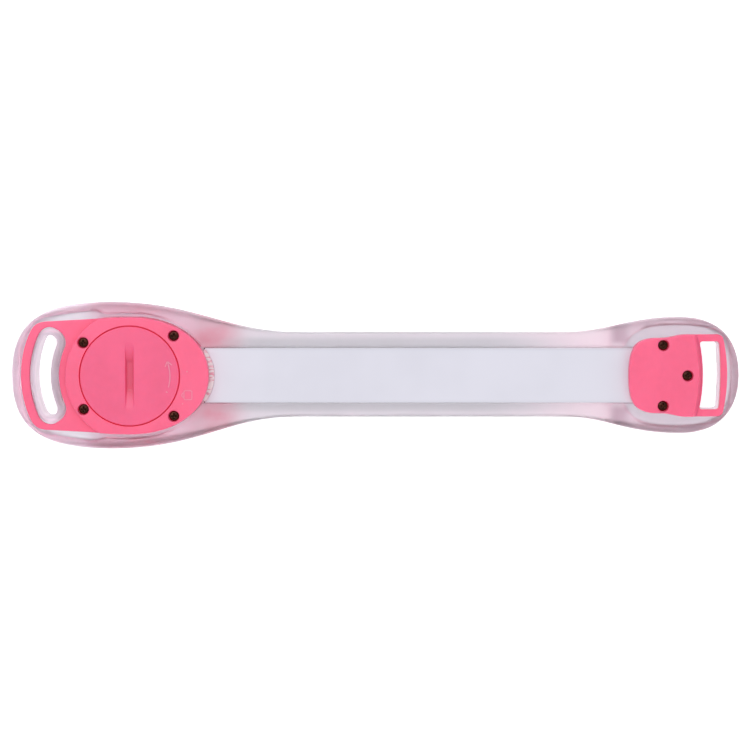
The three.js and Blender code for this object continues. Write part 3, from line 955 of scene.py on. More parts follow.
class Shape:
    """A mesh in the making: points in millimetres, and the faces between them."""

    def __init__(self) -> None:
        """Starts empty."""
        self.points: list[tuple[float, float, float]] = []
        self.faces: list[tuple[int, ...]] = []

    def ring(self, loop: Loop, height: float | Callable[[float, float], float]) -> Ring:
        """Adds a closed ring of points.

        Args:
            loop: Its outline.
            height: Its height, or a function that gives each point's height.

        Returns:
            The points' numbers.
        """
        first = len(self.points)
        for x, y in loop:
            self.points.append((x, y, height(x, y) if callable(height) else height))
        return list(range(first, len(self.points)))

    def skin(self, rings: Sequence[Ring]) -> None:
        """Joins each ring to the next with four-sided faces."""
        for lower, upper in zip(rings, rings[1:]):
            for i in range(len(lower)):
                j = (i + 1) % len(lower)
                self.faces.append((lower[i], lower[j], upper[j], upper[i]))

    def cap(self, *rings: Ring) -> None:
        """Fills the first ring flat, and leaves the other rings open as holes in it."""
        order = [number for ring in rings for number in ring]
        flat = [Vector(self.points[number][:2]) for number in order]
        outlines, first = [], 0
        for ring in rings:
            outlines.append(list(range(first, first + len(ring))))
            first += len(ring)
        inside = 1
        places, _, faces, sources, _, owners = delaunay_2d_cdt(flat, [], outlines, inside, 1e-5)
        level = self.points[rings[0][0]][2]
        numbers = []
        for place, source in zip(places, sources):
            if source:
                numbers.append(order[source[0]])
            else:
                numbers.append(len(self.points))
                self.points.append((place.x, place.y, level))
        for face, owner in zip(faces, owners):
            if owner == [0]:
                self.faces.append(tuple(numbers[corner] for corner in face))

    def rounded(
        self, loop: Loop, top: float, bottom: float, radius: float, hole: bool = False
    ) -> list[Ring]:
        """Adds an upright wall whose top edge is rounded.

        Args:
            loop: The wall's outline.
            top: The height of the face above it.
            bottom: The height of its foot.
            radius: The radius of its top edge.
            hole: True where the wall is a hole's, so that its edge opens outwards.

        Returns:
            The wall's rings, from the top down.
        """
        away = -1 if hole else 1
        rings = [self.ring(inset(loop, away * pull), top - drop) for drop, pull in quarter_round(radius)]
        rings.append(self.ring(loop, bottom))
        self.skin(rings)
        return rings

    def sunk(
        self, holes: Iterable["Hole"], top: float, bottom: float
    ) -> tuple[list[Ring], list[Ring]]:
        """Adds the walls of holes in a flat face, and the floors of the blind ones.

        Args:
            holes: The holes.
            top: The height of the face.
            bottom: The height that the through holes end at.

        Returns:
            The rings of all their mouths, and the rings that the through holes end in.
        """
        mouths, exits = [], []
        for hole in holes:
            rings = self.rounded(hole.loop, top, hole.floor(bottom), hole.edge, hole=True)
            mouths.append(rings[0])
            if hole.depth_to is None:
                exits.append(rings[-1])
            else:
                self.cap(rings[-1])
        return mouths, exits

    def plate(
        self, loop: Loop, top: float, bottom: float, radius: float, holes: Iterable["Hole"] = ()
    ) -> None:
        """Adds a flat plate with a rounded upper edge and holes in its upper face.

        Args:
            loop: The plate's outline.
            top: The height of its upper face.
            bottom: The height of its lower face.
            radius: The radius of its upper edge.
            holes: Holes through it, or blind holes into it.
        """
        wall = self.rounded(loop, top, bottom, radius)
        mouths, exits = self.sunk(holes, top, bottom)
        self.cap(wall[0], *mouths)
        self.cap(wall[-1], *exits)

    def disc(
        self,
        centre: Point,
        radius: float,
        height: Callable[[float, float], float],
        columns: Sequence[float],
        rows: int = 40,
    ) -> Ring:
        """Adds a round face whose height follows a function.

        Args:
            centre: Its centre.
            radius: Its radius.
            height: The height at a place given from the centre.
            columns: Where its columns of points stand from the centre, from left to right.
            rows: How many stretches each column has.

        Returns:
            The points of its edge, anticlockwise.
        """
        grid = []
        for x in columns:
            reach = math.sqrt(max(radius * radius - x * x, 0.0))
            column = []
            for row in range(rows + 1):
                y = reach * math.sin(math.pi * (row / rows - 0.5))
                column.append(len(self.points))
                self.points.append((centre[0] + x, centre[1] + y, height(x, y)))
            grid.append(column)
        for left, right in zip(grid, grid[1:]):
            for i in range(rows):
                self.faces.append((left[i], right[i], right[i + 1], left[i + 1]))
        bottom = [column[0] for column in grid]
        top = [column[-1] for column in grid]
        return bottom + grid[-1][1:-1] + top[::-1] + grid[0][-2:0:-1]

    def skirt(self, edge: Ring, centre: Point, profile: Iterable[tuple[float, float]]) -> Ring:
        """Continues a disc's edge through rings of other radii and heights.

        Args:
            edge: The disc's edge.
            centre: The disc's centre.
            profile: (radius, height) pairs, outwards and down from the edge.

        Returns:
            The last ring.
        """
        last = edge
        for radius, height in profile:
            loop = []
            for number in edge:
                x, y, _ = self.points[number]
                size = math.hypot(x - centre[0], y - centre[1])
                share = radius / size
                loop.append((centre[0] + (x - centre[0]) * share, centre[1] + (y - centre[1]) * share))
            ring = self.ring(loop, height)
            self.skin([last, ring])
            last = ring
        return last

    def revolve(self, centre: Point, profile: Sequence[tuple[float, float]], steps: int = 96) -> None:
        """Adds a closed turned solid.

        Args:
            centre: Its axis's place.
            profile: (radius, height) pairs. A first or last radius of 0 is closed with a flat cap.
            steps: How many sides it has.
        """
        rings = [self.ring(circle(centre, r, steps), z) for r, z in profile if r > 0]
        self.skin(rings)
        if profile[0][0] > 0 and profile[-1][0] > 0:
            self.skin([rings[-1], rings[0]])
        else:
            self.cap(rings[0])
            self.cap(rings[-1])

    def ribbon(self, path: Loop, half_width: float, foot: float, rise: float) -> None:
        """Adds a thin raised line with sloping sides.

        Args:
            path: Its middle line, closed where it ends at its first point.
            half_width: Half its width at its foot.
            foot: The height of its foot.
            rise: How far it stands up.
        """
        closed = path[0] == path[-1]
        points = path[:-1] if closed else path
        sections = []
        for index, (x, y) in enumerate(points):
            ax, ay = points[index - 1 if closed else max(index - 1, 0)]
            bx, by = points[(index + 1) % len(points) if closed else min(index + 1, len(points) - 1)]
            size = math.hypot(bx - ax, by - ay) or 1.0
            nx, ny = -(by - ay) / size, (bx - ax) / size
            section = []
            for side, z in ((1.0, foot), (0.45, foot + rise), (-0.45, foot + rise), (-1.0, foot)):
                section.append(len(self.points))
                reach = half_width * side
                self.points.append((x + nx * reach, y + ny * reach, z))
            sections.append(section)
        if closed:
            self.skin([*sections, sections[0]])
        else:
            self.skin(sections)
            self.faces.extend([tuple(sections[0]), tuple(reversed(sections[-1]))])

    def piece(
        self, name: str, finish: Finish, body: Body, replaces: Sequence[str] = ()
    ) -> bpy.types.Object:
        """Turns the shape into a finished piece that rides on a body.

        Args:
            name: The piece's name.
            finish: What it is made of.
            body: What it moves with.
            replaces: The frame's nodes that it stands for.

        Returns:
            The piece.
        """
        mesh = bpy.data.meshes.new(name)
        mesh.from_pydata([Vector(p) * MM for p in self.points], [], self.faces)
        work = bmesh.new()
        work.from_mesh(mesh)
        bmesh.ops.remove_doubles(work, verts=work.verts, dist=0.002 * MM)
        bmesh.ops.dissolve_degenerate(work, edges=work.edges, dist=0.001 * MM)
        bmesh.ops.recalc_face_normals(work, faces=work.faces)
        for face in work.faces:
            face.smooth = True
        for edge in work.edges:
            edge.smooth = edge.calc_face_angle(0.0) < SHARP_FROM
        work.to_mesh(mesh)
        work.free()
        made = placed(name, mesh)
        made.modifiers.new("flat faces", "WEIGHTED_NORMAL").keep_sharp = True
        settle(made, finish, body, replaces)
        return made


@dataclass(frozen=True)
class Hole:
    """A hole in a plate's upper face, through it or blind."""

    loop: Loop
    edge: float = 0.15
    depth_to: float | None = None

    def floor(self, bottom: float) -> float:
        """The height that the hole's wall ends at."""
        return bottom if self.depth_to is None else self.depth_to


def placed(name: str, data: bpy.types.ID) -> bpy.types.Object:
    """Makes an object of a mesh, a light or a camera, and puts it in the scene."""
    made = bpy.data.objects.new(name, data)
    bpy.context.scene.collection.objects.link(made)
    return made


def apply_modifiers(made: bpy.types.Object) -> None:
    """Replaces an object's mesh by what its modifiers make of it."""
    graph = bpy.context.evaluated_depsgraph_get()
    mesh = bpy.data.meshes.new_from_object(made.evaluated_get(graph))
    made.modifiers.clear()
    made.data = mesh


def smoothed(mesh: bpy.types.Mesh) -> None:
    """Shades every face of a mesh smooth."""
    mesh.polygons.foreach_set("use_smooth", [True] * len(mesh.polygons))


def settle(
    made: bpy.types.Object, finish: Finish, body: Body, replaces: Sequence[str] = ()
) -> None:
    """Dresses a piece and fixes it to its body.

    Args:
        made: The piece.
        finish: What it is made of.
        body: What it moves with.
        replaces: The frame's nodes that it stands for.
    """
    made.data.materials.clear()
    made.data.materials.append(finish.material())
    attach(made, body.value)
    if replaces:
        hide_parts(*replaces)
    LOG.info("%-20s %6d faces, rides on %s", made.name, len(made.data.polygons), body.value)


def dress(node: str, finish: Finish, edge: float = 0.12) -> None:
    """Gives a node of the frame its finish, with its edges rounded.

    Args:
        node: The node's name.
        finish: What it is made of.
        edge: The radius of its edges, in millimetres, or 0 to leave them as they are.
    """
    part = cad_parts[node]
    part.data.materials.clear()
    part.data.materials.append(finish.material())
    smoothed(part.data)
    part.modifiers.new("joined", "WELD").merge_threshold = WELD_GAP * MM
    if edge:
        bevel = part.modifiers.new("edges", "BEVEL")
        bevel.width, bevel.segments = edge * MM, 2
        bevel.limit_method, bevel.angle_limit = "ANGLE", math.radians(40)
    part.modifiers.new("flat faces", "WEIGHTED_NORMAL")
    LOG.info("%-20s carried over from the frame", node)


def middle(node: str) -> tuple[float, float, float]:
    """The middle of a node of the frame, in millimetres."""
    low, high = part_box(node)
    x, y, z = (low + high) / 2 / MM
    return x, y, z


def extents(node: str) -> tuple[Span, Span, Span]:
    """What a node of the frame spans along X, Y and Z, in millimetres."""
    low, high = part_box(node)
    return (low.x / MM, high.x / MM), (low.y / MM, high.y / MM), (low.z / MM, high.z / MM)


def levels(node: str) -> Span:
    """The lowest and highest level of a node of the frame, in millimetres."""
    return extents(node)[2]


def radius_of(node: str) -> float:
    """The radius of a round node of the frame, in millimetres."""
    low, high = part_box(node)
    return (high.x - low.x) / 2 / MM


# ------------------------------------------------------------------ the band


@dataclass
class Band:
    """The soft skin, the clear light guide and the white film on the guide's back."""

    voxel: float = 0.4
    soft_rounds: int = 8
    skin_faces: int = 70000
    guide_edge: float = 0.5
    tongue_half: float = 6.2
    shoulder_x: float = 74.0
    film_arc_x: float = -57.1
    film_arc_radius: float = 12.0
    facet_count: int = 14
    facet_inner: float = 9.6
    facet_outer: float = 11.9
    facet_rise: float = 0.4
    facet_foot: float = 0.01
    facet_valley: float = 0.03
    facet_side_gap: float = 0.3
    film_edge: float = 0.07

    def skin(self) -> bpy.types.Object:
        """Makes the soft skin: the frame's solid, with every edge rounded as a soft moulding is.

        Returns:
            The skin.
        """
        made = placed("soft_skin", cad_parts["tpu_body"].data.copy())
        made.modifiers.new("joined", "WELD").merge_threshold = WELD_GAP * MM
        voxels = made.modifiers.new("even", "REMESH")
        voxels.mode, voxels.voxel_size, voxels.use_smooth_shade = "VOXEL", self.voxel * MM, True
        soften = made.modifiers.new("soften", "SMOOTH")
        soften.factor, soften.iterations = 0.5, self.soft_rounds
        apply_modifiers(made)
        triangles = 2 * len(made.data.polygons)
        if triangles > self.skin_faces:
            made.modifiers.new("lighter", "DECIMATE").ratio = self.skin_faces / triangles
            apply_modifiers(made)
        smoothed(made.data)
        settle(made, SKIN, Body.BAND, ["tpu_body"])
        return made

    def guide(self) -> bpy.types.Object:
        """Makes the clear bar with its narrower tongue.

        Returns:
            The bar.
        """
        (start, end), (_, half), (bottom, top) = extents("light_guide")
        upper = [
            (start, 0.0),
            (start, half),
            (self.shoulder_x, half),
            (self.shoulder_x, self.tongue_half),
            (end, self.tongue_half),
            (end, 0.0),
        ]
        shape = Shape()
        loop = evenly(mirrored(upper), 640)
        rings = shape.rounded(loop, top, bottom + self.guide_edge, self.guide_edge)
        turned = quarter_round(self.guide_edge)[1:]
        foot = [shape.ring(inset(loop, pull), bottom + rise) for pull, rise in turned]
        shape.skin([rings[-1], *foot])
        shape.cap(rings[0])
        shape.cap(foot[-1])
        return shape.piece("clear_guide", CLEAR, Body.BAND, ["light_guide"])

    def facets(self) -> bpy.types.Object:
        """Makes the fan of small ridges in the guide's mouth, between the housing's nose and the film.

        Returns:
            The facets.
        """
        _, (_, half), (_, top) = extents("light_guide")
        swing = math.asin((half - self.facet_side_gap) / self.facet_outer)
        foot, valley = top + self.facet_foot, top + self.facet_valley
        shape = Shape()
        sections = []
        for step in range(self.facet_count + 1):
            angle = swing * (2 * step / self.facet_count - 1)
            crest = valley + self.facet_rise * (step % 2)
            section = []
            for radius, z in (
                (self.facet_inner, foot),
                (self.facet_outer, foot),
                (self.facet_outer, (valley + crest) / 2),
                (self.facet_inner, crest),
            ):
                section.append(len(shape.points))
                x, y = self.film_arc_x + radius * math.cos(angle), radius * math.sin(angle)
                shape.points.append((x, y, z))
            sections.append(section)
        shape.skin(sections)
        shape.faces.extend([tuple(sections[0]), tuple(reversed(sections[-1]))])
        return shape.piece("guide_facets", FACETS, Body.BAND)

    def film(self) -> bpy.types.Object:
        """Makes the white film, its end near the battery cut to a hollow arc.

        Returns:
            The film.
        """
        (_, end), (_, half), (bottom, top) = extents("reflector_film")
        swing = math.degrees(math.asin(half / self.film_arc_radius))
        hollow = arc((self.film_arc_x, 0.0), self.film_arc_radius, swing, -swing, 40)
        loop = evenly([*hollow, (end, -half), (end, half)], 720)
        shape = Shape()
        shape.plate(loop, top, bottom, self.film_edge)
        return shape.piece("white_film", FILM, Body.BAND, ["reflector_film"])

    def build(self) -> None:
        """Makes the band's pieces."""
        self.skin()
        self.guide()
        self.facets()
        self.film()


# ------------------------------------------------------------------ screws


@dataclass
class CrossScrew:
    """A small pan-head screw with a cross recess."""

    node: str
    shank_radius: float = 0.85
    head_height: float = 1.1
    recess_depth: float = 0.85
    arm_length: float = 0.86
    arm_half: float = 0.15
    arm_slope: float = 0.13
    arm_end: float = 0.14
    crown: float = 0.1
    head_edge: float = 0.22
    thread_depth: float = 0.2
    pitch: float = 0.6

    def top_at(self, x: float, y: float, top: float) -> float:
        """The height of the head's crown and recess.

        Args:
            x: The place from the head's centre.
            y: The place from the head's centre.
            top: The height of the head's crown.

        Returns:
            The height there.
        """
        away = math.hypot(x, y)
        arm = max(
            smooth_rise((self.arm_half + self.arm_slope - abs(side)) / self.arm_slope)
            * smooth_rise((self.arm_length - abs(along)) / self.arm_end)
            for along, side in ((x, y), (y, x))
        )
        floor = self.recess_depth * (1.15 - 0.45 * away / self.arm_length)
        return top - self.crown * away * away - arm * max(floor, 0.0)

    def build(self) -> bpy.types.Object:
        """Makes the screw.

        Returns:
            The screw.
        """
        x, y, _ = middle(self.node)
        radius = radius_of(self.node)
        tip, top = levels(self.node)
        flat = radius - self.head_edge
        columns = [flat * 0.9995 * math.sin(math.pi * (i / 56 - 0.5)) for i in range(57)]
        shape = Shape()
        edge = shape.disc((x, y), flat, lambda dx, dy: self.top_at(dx, dy, top), columns, 56)
        crown = top - self.crown * flat * flat
        under = top - self.head_height
        profile = [
            (flat + 0.13, crown - 0.05),
            (flat + 0.2, crown - 0.13),
            (radius, crown - 0.26),
            (radius, under + 0.1),
            (radius - 0.1, under),
            (self.shank_radius, under),
        ]
        turns = int((under - tip - 0.9) / self.pitch)
        for turn in range(turns):
            level = under - 0.15 - turn * self.pitch
            root = self.shank_radius - self.thread_depth
            profile += [(root, level), (self.shank_radius, level - self.pitch / 2)]
        profile += [(self.shank_radius - 0.25, tip + 0.7), (0.12, tip)]
        shape.cap(shape.skirt(edge, (x, y), profile))
        return shape.piece(f"{self.node}_turned", DARK_NICKEL, Body.BAND, [self.node])


def screw_nodes(prefix: str) -> list[str]:
    """The names of the frame's screws that start with a prefix, in order."""
    return sorted(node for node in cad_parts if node.startswith(prefix))


@dataclass(frozen=True)
class Counterbore:
    """A kind of blind hole round a screw: its radius, its mouth's edge and its depth under the head."""

    radius: float
    edge: float
    depth: float

    def round_screws(self, prefix: str) -> list[Hole]:
        """The blind holes that a set of screws sits in.

        Args:
            prefix: How the screws' names start.

        Returns:
            One hole for each screw.
        """
        holes = []
        for node in screw_nodes(prefix):
            x, y, _ = middle(node)
            holes.append(Hole(circle((x, y), self.radius, 48), self.edge, levels(node)[1] - self.depth))
        return holes


SCREW_SEAT = Counterbore(radius=1.55, edge=0.3, depth=1.2)
SCREW_CLEARANCE = Counterbore(radius=1.65, edge=0.02, depth=1.25)


# ------------------------------------------------------------------ the battery housing


@dataclass
class BatteryHousing:
    """The wide end's rear cover with its marks, the shell under it, and the round door."""

    frame_top: float = 10.6
    frame_edge: float = 0.4
    drum_radius: float = 18.0
    drum_edge: float = 0.5
    drum_gap: float = 0.02
    foot_lift: float = 0.05
    seat_radius: float = 14.1
    ledge_radius: float = 12.9
    ledge_top: float = 9.8
    window_radius: float = 23.95
    window_half_angle: float = 0.394
    window_half: float = 4.1
    window_corner: float = 3.6
    window_edge: float = 0.25
    ledge_edge: float = 0.14
    seat_gap: float = 0.4
    notch_angles: tuple[int, ...] = (0, 120, 240)
    notch_half_angle: float = 11.0
    notch_depth: float = 0.7
    mark_rise: float = 0.07
    mark_foot: float = 0.02
    cover_dots: tuple[tuple[Point, float], ...] = (((16.1, 1.3), 0.24), ((14.8, -7.7), 0.2))
    lock_place: Point = (16.3, -5.3)
    lock_half_width: float = 1.1
    lock_half_height: float = 1.25
    lock_corner: float = 0.35
    shackle_radius: float = 0.62
    lock_line: float = 0.12
    arrow_radius: float = 11.3
    arrow_span: Span = (-16.0, 20.0)
    arrow_tip: float = 21.0
    barb_back: float = 14.5
    barb_spread: float = 1.0
    arrow_dot_at: float = -23.0
    arrow_dot: float = 0.26
    arrow_line: float = 0.17
    door_edge: float = 0.22
    door_under: float = 10.85
    spigot_outer: float = 12.55
    spigot_inner: float = 11.55
    spigot_edge: float = 0.15
    boss_radius: float = 9.9
    boss_depth: float = 0.4
    lug_angles: tuple[int, ...] = (90, 210, 330)
    lug_half_angle: float = 8.0
    lug_radius: float = 12.78
    lug_root: float = 12.1
    lug_top: float = 8.6
    coin_slot_half: float = 0.95
    coin_slot_length: float = 19.0
    coin_slot_depth: float = 0.95
    coin_slot_ramp: float = 5.0
    coin_slot_lip: float = 0.3
    well_half: float = 4.7
    well_depth: float = 0.5
    well_side: float = 0.15
    well_end: float = 0.25

    @property
    def axis_x(self) -> float:
        """The place along the band of the door's axis."""
        return middle("battery_door")[0]

    def outline(self) -> Loop:
        """The rear cover seen from above, from its strap frame to its nose."""
        left, nose = extents("rear_cover")[0]
        axis = self.axis_x
        upper = [
            *bezier((left, 0), (left, 5), (left + 1.1, 9), (left + 2.7, 12.4)),
            *bezier((left + 2.7, 12.4), (left + 3.9, 14.6), (left + 5.1, 15.1), (left + 8.1, 15.2))[1:],
            *bezier((-80, 15.8), (-76, 16.1), (-72, 16.3), (axis, 16.3)),
            *bezier((axis, 16.3), (-56, 16.3), (nose, 9.8), (nose, 0))[1:],
        ]
        return evenly(mirrored(upper), 420)

    def drum_outline(self) -> Loop:
        """The raised drum with its nose: the rear cover's outline, cut by the drum's circle."""
        axis, radius = self.axis_x, self.drum_radius
        cut = [(max(x, axis - math.sqrt(max(radius * radius - y * y, 0.0))), y) for x, y in self.outline()]
        return evenly(inset(evenly(cut, 420), self.drum_gap), 420)

    def rear_cover(self) -> bpy.types.Object:
        """Makes the rear cover: strap frame, drum, door seat with its ledge, and screw seats.

        Returns:
            The cover.
        """
        bottom, top = levels("rear_cover")
        door = (self.axis_x, 0.0)
        half_length = self.window_radius * self.window_half_angle + self.window_half
        window = bent_slot(
            door[0], self.window_radius, half_length, self.window_half, self.window_corner, -1
        )
        shape = Shape()
        holes = [
            Hole(window, self.window_edge),
            *SCREW_CLEARANCE.round_screws("housing_screw"),
            Hole(circle(door, self.seat_radius + self.seat_gap), SCREW_CLEARANCE.edge),
        ]
        shape.plate(self.outline(), self.frame_top, bottom, self.frame_edge, holes)
        foot = bottom + self.foot_lift
        wall = shape.rounded(self.drum_outline(), top, foot, self.drum_edge)
        seats, _ = shape.sunk(SCREW_SEAT.round_screws("housing_screw"), top, bottom)
        mouth = circle(door, self.seat_radius)
        seat = shape.rounded(mouth, top, self.ledge_top, self.ledge_edge, hole=True)
        ledge = [shape.ring(self.ledge_loop(), level) for level in (self.ledge_top, foot)]
        shape.skin([seat[-1], *ledge])
        shape.cap(wall[0], seat[0], *seats)
        shape.cap(wall[-1], ledge[-1])
        return shape.piece("rear_moulding", PINK, Body.BAND, ["rear_cover"])

    def ledge_loop(self) -> Loop:
        """The door's ledge ring, with the three notches that let the lugs through."""
        loop = []
        for step in range(96):
            angle = 360 * step / 96
            turned = min(abs((angle - notch + 180) % 360 - 180) for notch in self.notch_angles)
            radius = self.ledge_radius + (self.notch_depth if turned < self.notch_half_angle else 0.0)
            loop.append(polar((self.axis_x, 0.0), radius, angle))
        return loop

    def marks(self) -> None:
        """Makes the small raised marks: two dots and a padlock outline on the cover."""
        top = levels("rear_cover")[1]
        axis = self.axis_x
        shape = Shape()
        for (x, y), radius in self.cover_dots:
            self.dot(shape, (axis + x, y), radius, top)
        lock = (axis + self.lock_place[0], self.lock_place[1])
        body = rounded_rectangle(lock, self.lock_half_width, self.lock_half_height, self.lock_corner, 6)
        shackle = arc((lock[0] - self.lock_half_width, lock[1]), self.shackle_radius, 90, 270, 14)
        for line in ([*body, body[0]], shackle):
            shape.ribbon(line, self.lock_line, top - self.mark_foot, self.mark_rise)
        shape.piece("cover_marks", HIGHLIGHT_PINK, Body.BAND)

    def dot(self, shape: Shape, centre: Point, radius: float, top: float) -> None:
        """Adds a small raised dot.

        Args:
            shape: The mesh that it goes in.
            centre: Its centre.
            radius: Its radius.
            top: The height of the face that it stands on.
        """
        crown, foot = top + 0.09, top - self.mark_foot
        profile = [(radius, foot), (radius * 0.85, top + 0.05), (radius * 0.4, crown), (0, crown)]
        shape.revolve(centre, profile, 20)

    def face_at(self, x: float, y: float, top: float) -> float:
        """The height of the door's outer face, with its crown and its coin slot.

        Args:
            x: The place from the door's axis.
            y: The place from the door's axis.
            top: The height of the face's rim.

        Returns:
            The height there.
        """
        lip = self.coin_slot_lip
        across = smooth_rise((self.coin_slot_half + lip - abs(x)) / lip)
        along = smooth_rise((self.coin_slot_length / 2 - abs(y)) / self.coin_slot_ramp)
        well_across = smooth_rise((self.coin_slot_half - abs(x)) / self.well_side)
        well_along = smooth_rise((self.well_half - abs(y)) / self.well_end)
        well = self.well_depth * well_across * well_along
        return top - self.coin_slot_depth * across * along - well

    def door(self) -> bpy.types.Object:
        """Makes the round door in one closed piece with its spigot and lugs.

        Returns:
            The door.
        """
        radius = radius_of("battery_door")
        foot, top = levels("battery_door")
        centre = (self.axis_x, 0.0)
        flat = radius - self.door_edge
        reach = self.coin_slot_half + 0.6
        near = [-reach + 2 * reach * i / 30 for i in range(31)]
        far = [reach + (flat * 0.9995 - reach) * math.sin(math.pi / 2 * i / 18) for i in range(1, 19)]
        columns = [-x for x in reversed(far)] + near + far
        shape = Shape()
        edge = shape.disc(centre, flat, lambda dx, dy: self.face_at(dx, dy, top), columns, 72)
        rounding = [(radius - pull, top - drop) for drop, pull in quarter_round(self.door_edge)[1:]]
        under, round_edge = self.door_under, self.spigot_edge
        profile = [
            *rounding,
            (radius, under),
            (self.spigot_outer, under),
            (self.spigot_outer, foot + round_edge),
            (self.spigot_outer - round_edge, foot),
            (self.spigot_inner + round_edge, foot),
            (self.spigot_inner, foot + round_edge),
            (self.spigot_inner, under),
            (self.boss_radius, under),
            (self.boss_radius, under - self.boss_depth),
        ]
        shape.cap(shape.skirt(edge, centre, profile))
        for lug in self.lug_angles:
            start, end = lug - self.lug_half_angle, lug + self.lug_half_angle
            loop = arc(centre, self.lug_radius, start, end, 8) + arc(centre, self.lug_root, end, start, 8)
            shape.plate(loop, self.lug_top, foot + 0.02, 0.03)
        return shape.piece("round_door", DOOR_PINK, Body.DOOR, ["battery_door"])

    def door_marks(self) -> None:
        """Makes the door's raised marks: a dot and a curved arrow that shows which way it opens."""
        top = levels("battery_door")[1]
        centre = (self.axis_x, 0.0)
        shape = Shape()
        radius, foot = self.arrow_radius, top - self.mark_foot
        self.dot(shape, polar(centre, radius, self.arrow_dot_at), self.arrow_dot, top)
        shape.ribbon(arc(centre, radius, *self.arrow_span, 30), self.arrow_line, foot, self.mark_rise)
        for offset in (-self.barb_spread, self.barb_spread):
            barb = [polar(centre, radius + offset, self.barb_back), polar(centre, radius, self.arrow_tip)]
            shape.ribbon(barb, self.arrow_line, foot, self.mark_rise)
        shape.piece("door_marks", HIGHLIGHT_PINK, Body.DOOR)

    def build(self) -> None:
        """Makes the housing's pieces."""
        self.rear_cover()
        self.marks()
        self.door()
        self.door_marks()
        dress("front_shell", PINK, 0.3)
        dress("door_seal", SEAL_RUBBER, 0)
        for node in screw_nodes("housing_screw"):
            CrossScrew(node).build()


# ------------------------------------------------------------------ power and light


@dataclass
class PowerPack:
    """The coin cell, its tray and its two contacts."""

    gasket_outer: float = 9.5
    gasket_inner: float = 8.95
    cap_rise: float = 0.22
    sides: int = 128
    plus_arm: float = 1.4
    plus_y: float = 4.5
    plus_line: float = 0.22

    def cell(self) -> None:
        """Makes the coin cell: a polished can, and the gasket round its smaller face."""
        radius = radius_of("coin_cell")
        bottom, top = levels("coin_cell")
        x, y, _ = middle("coin_cell")
        cap_level = bottom + self.cap_rise
        can = Shape()
        can.revolve(
            (x, y),
            [
                (0, bottom),
                (8.5, bottom),
                (8.75, bottom + 0.05),
                (8.88, cap_level),
                (self.gasket_outer, cap_level),
                (self.gasket_outer + 0.15, cap_level + 0.04),
                (radius - 0.08, cap_level + 0.3),
                (radius, cap_level + 0.5),
                (radius, top - 0.3),
                (radius - 0.09, top - 0.09),
                (radius - 0.3, top),
                (radius - 1.0, top),
                (radius - 1.15, top - 0.04),
                (radius - 1.4, top - 0.04),
                (radius - 1.55, top),
                (0, top),
            ],
            self.sides,
        )
        self.plus_sign(can, (x, y), top)
        can.piece("steel_cell", CAN_STEEL, Body.CELL, ["coin_cell"])
        gasket = Shape()
        inner, outer = self.gasket_inner, self.gasket_outer
        level = cap_level - 0.02
        section = [(inner, level), (outer, level), (outer, level - 0.12), (inner, level - 0.16)]
        gasket.revolve((x, y), section, self.sides)
        gasket.piece("cell_gasket", GASKET, Body.CELL)

    def plus_sign(self, shape: Shape, centre: Point, top: float) -> None:
        """Adds the raised plus sign of the positive face.

        Args:
            shape: The mesh that it goes in.
            centre: The cell's axis.
            top: The height of the face.
        """
        x, y = centre[0], centre[1] + self.plus_y
        arm = self.plus_arm
        for line in ([(x - arm, y), (x + arm, y)], [(x, y - arm), (x, y + arm)]):
            shape.ribbon(line, self.plus_line, top - 0.02, 0.05)

    def build(self) -> None:
        """Makes the power pack's pieces."""
        self.cell()
        dress("cell_tray", BLACK, 0.15)
        for node in ("positive_contact", "negative_contact"):
            dress(node, BRONZE, 0.04)


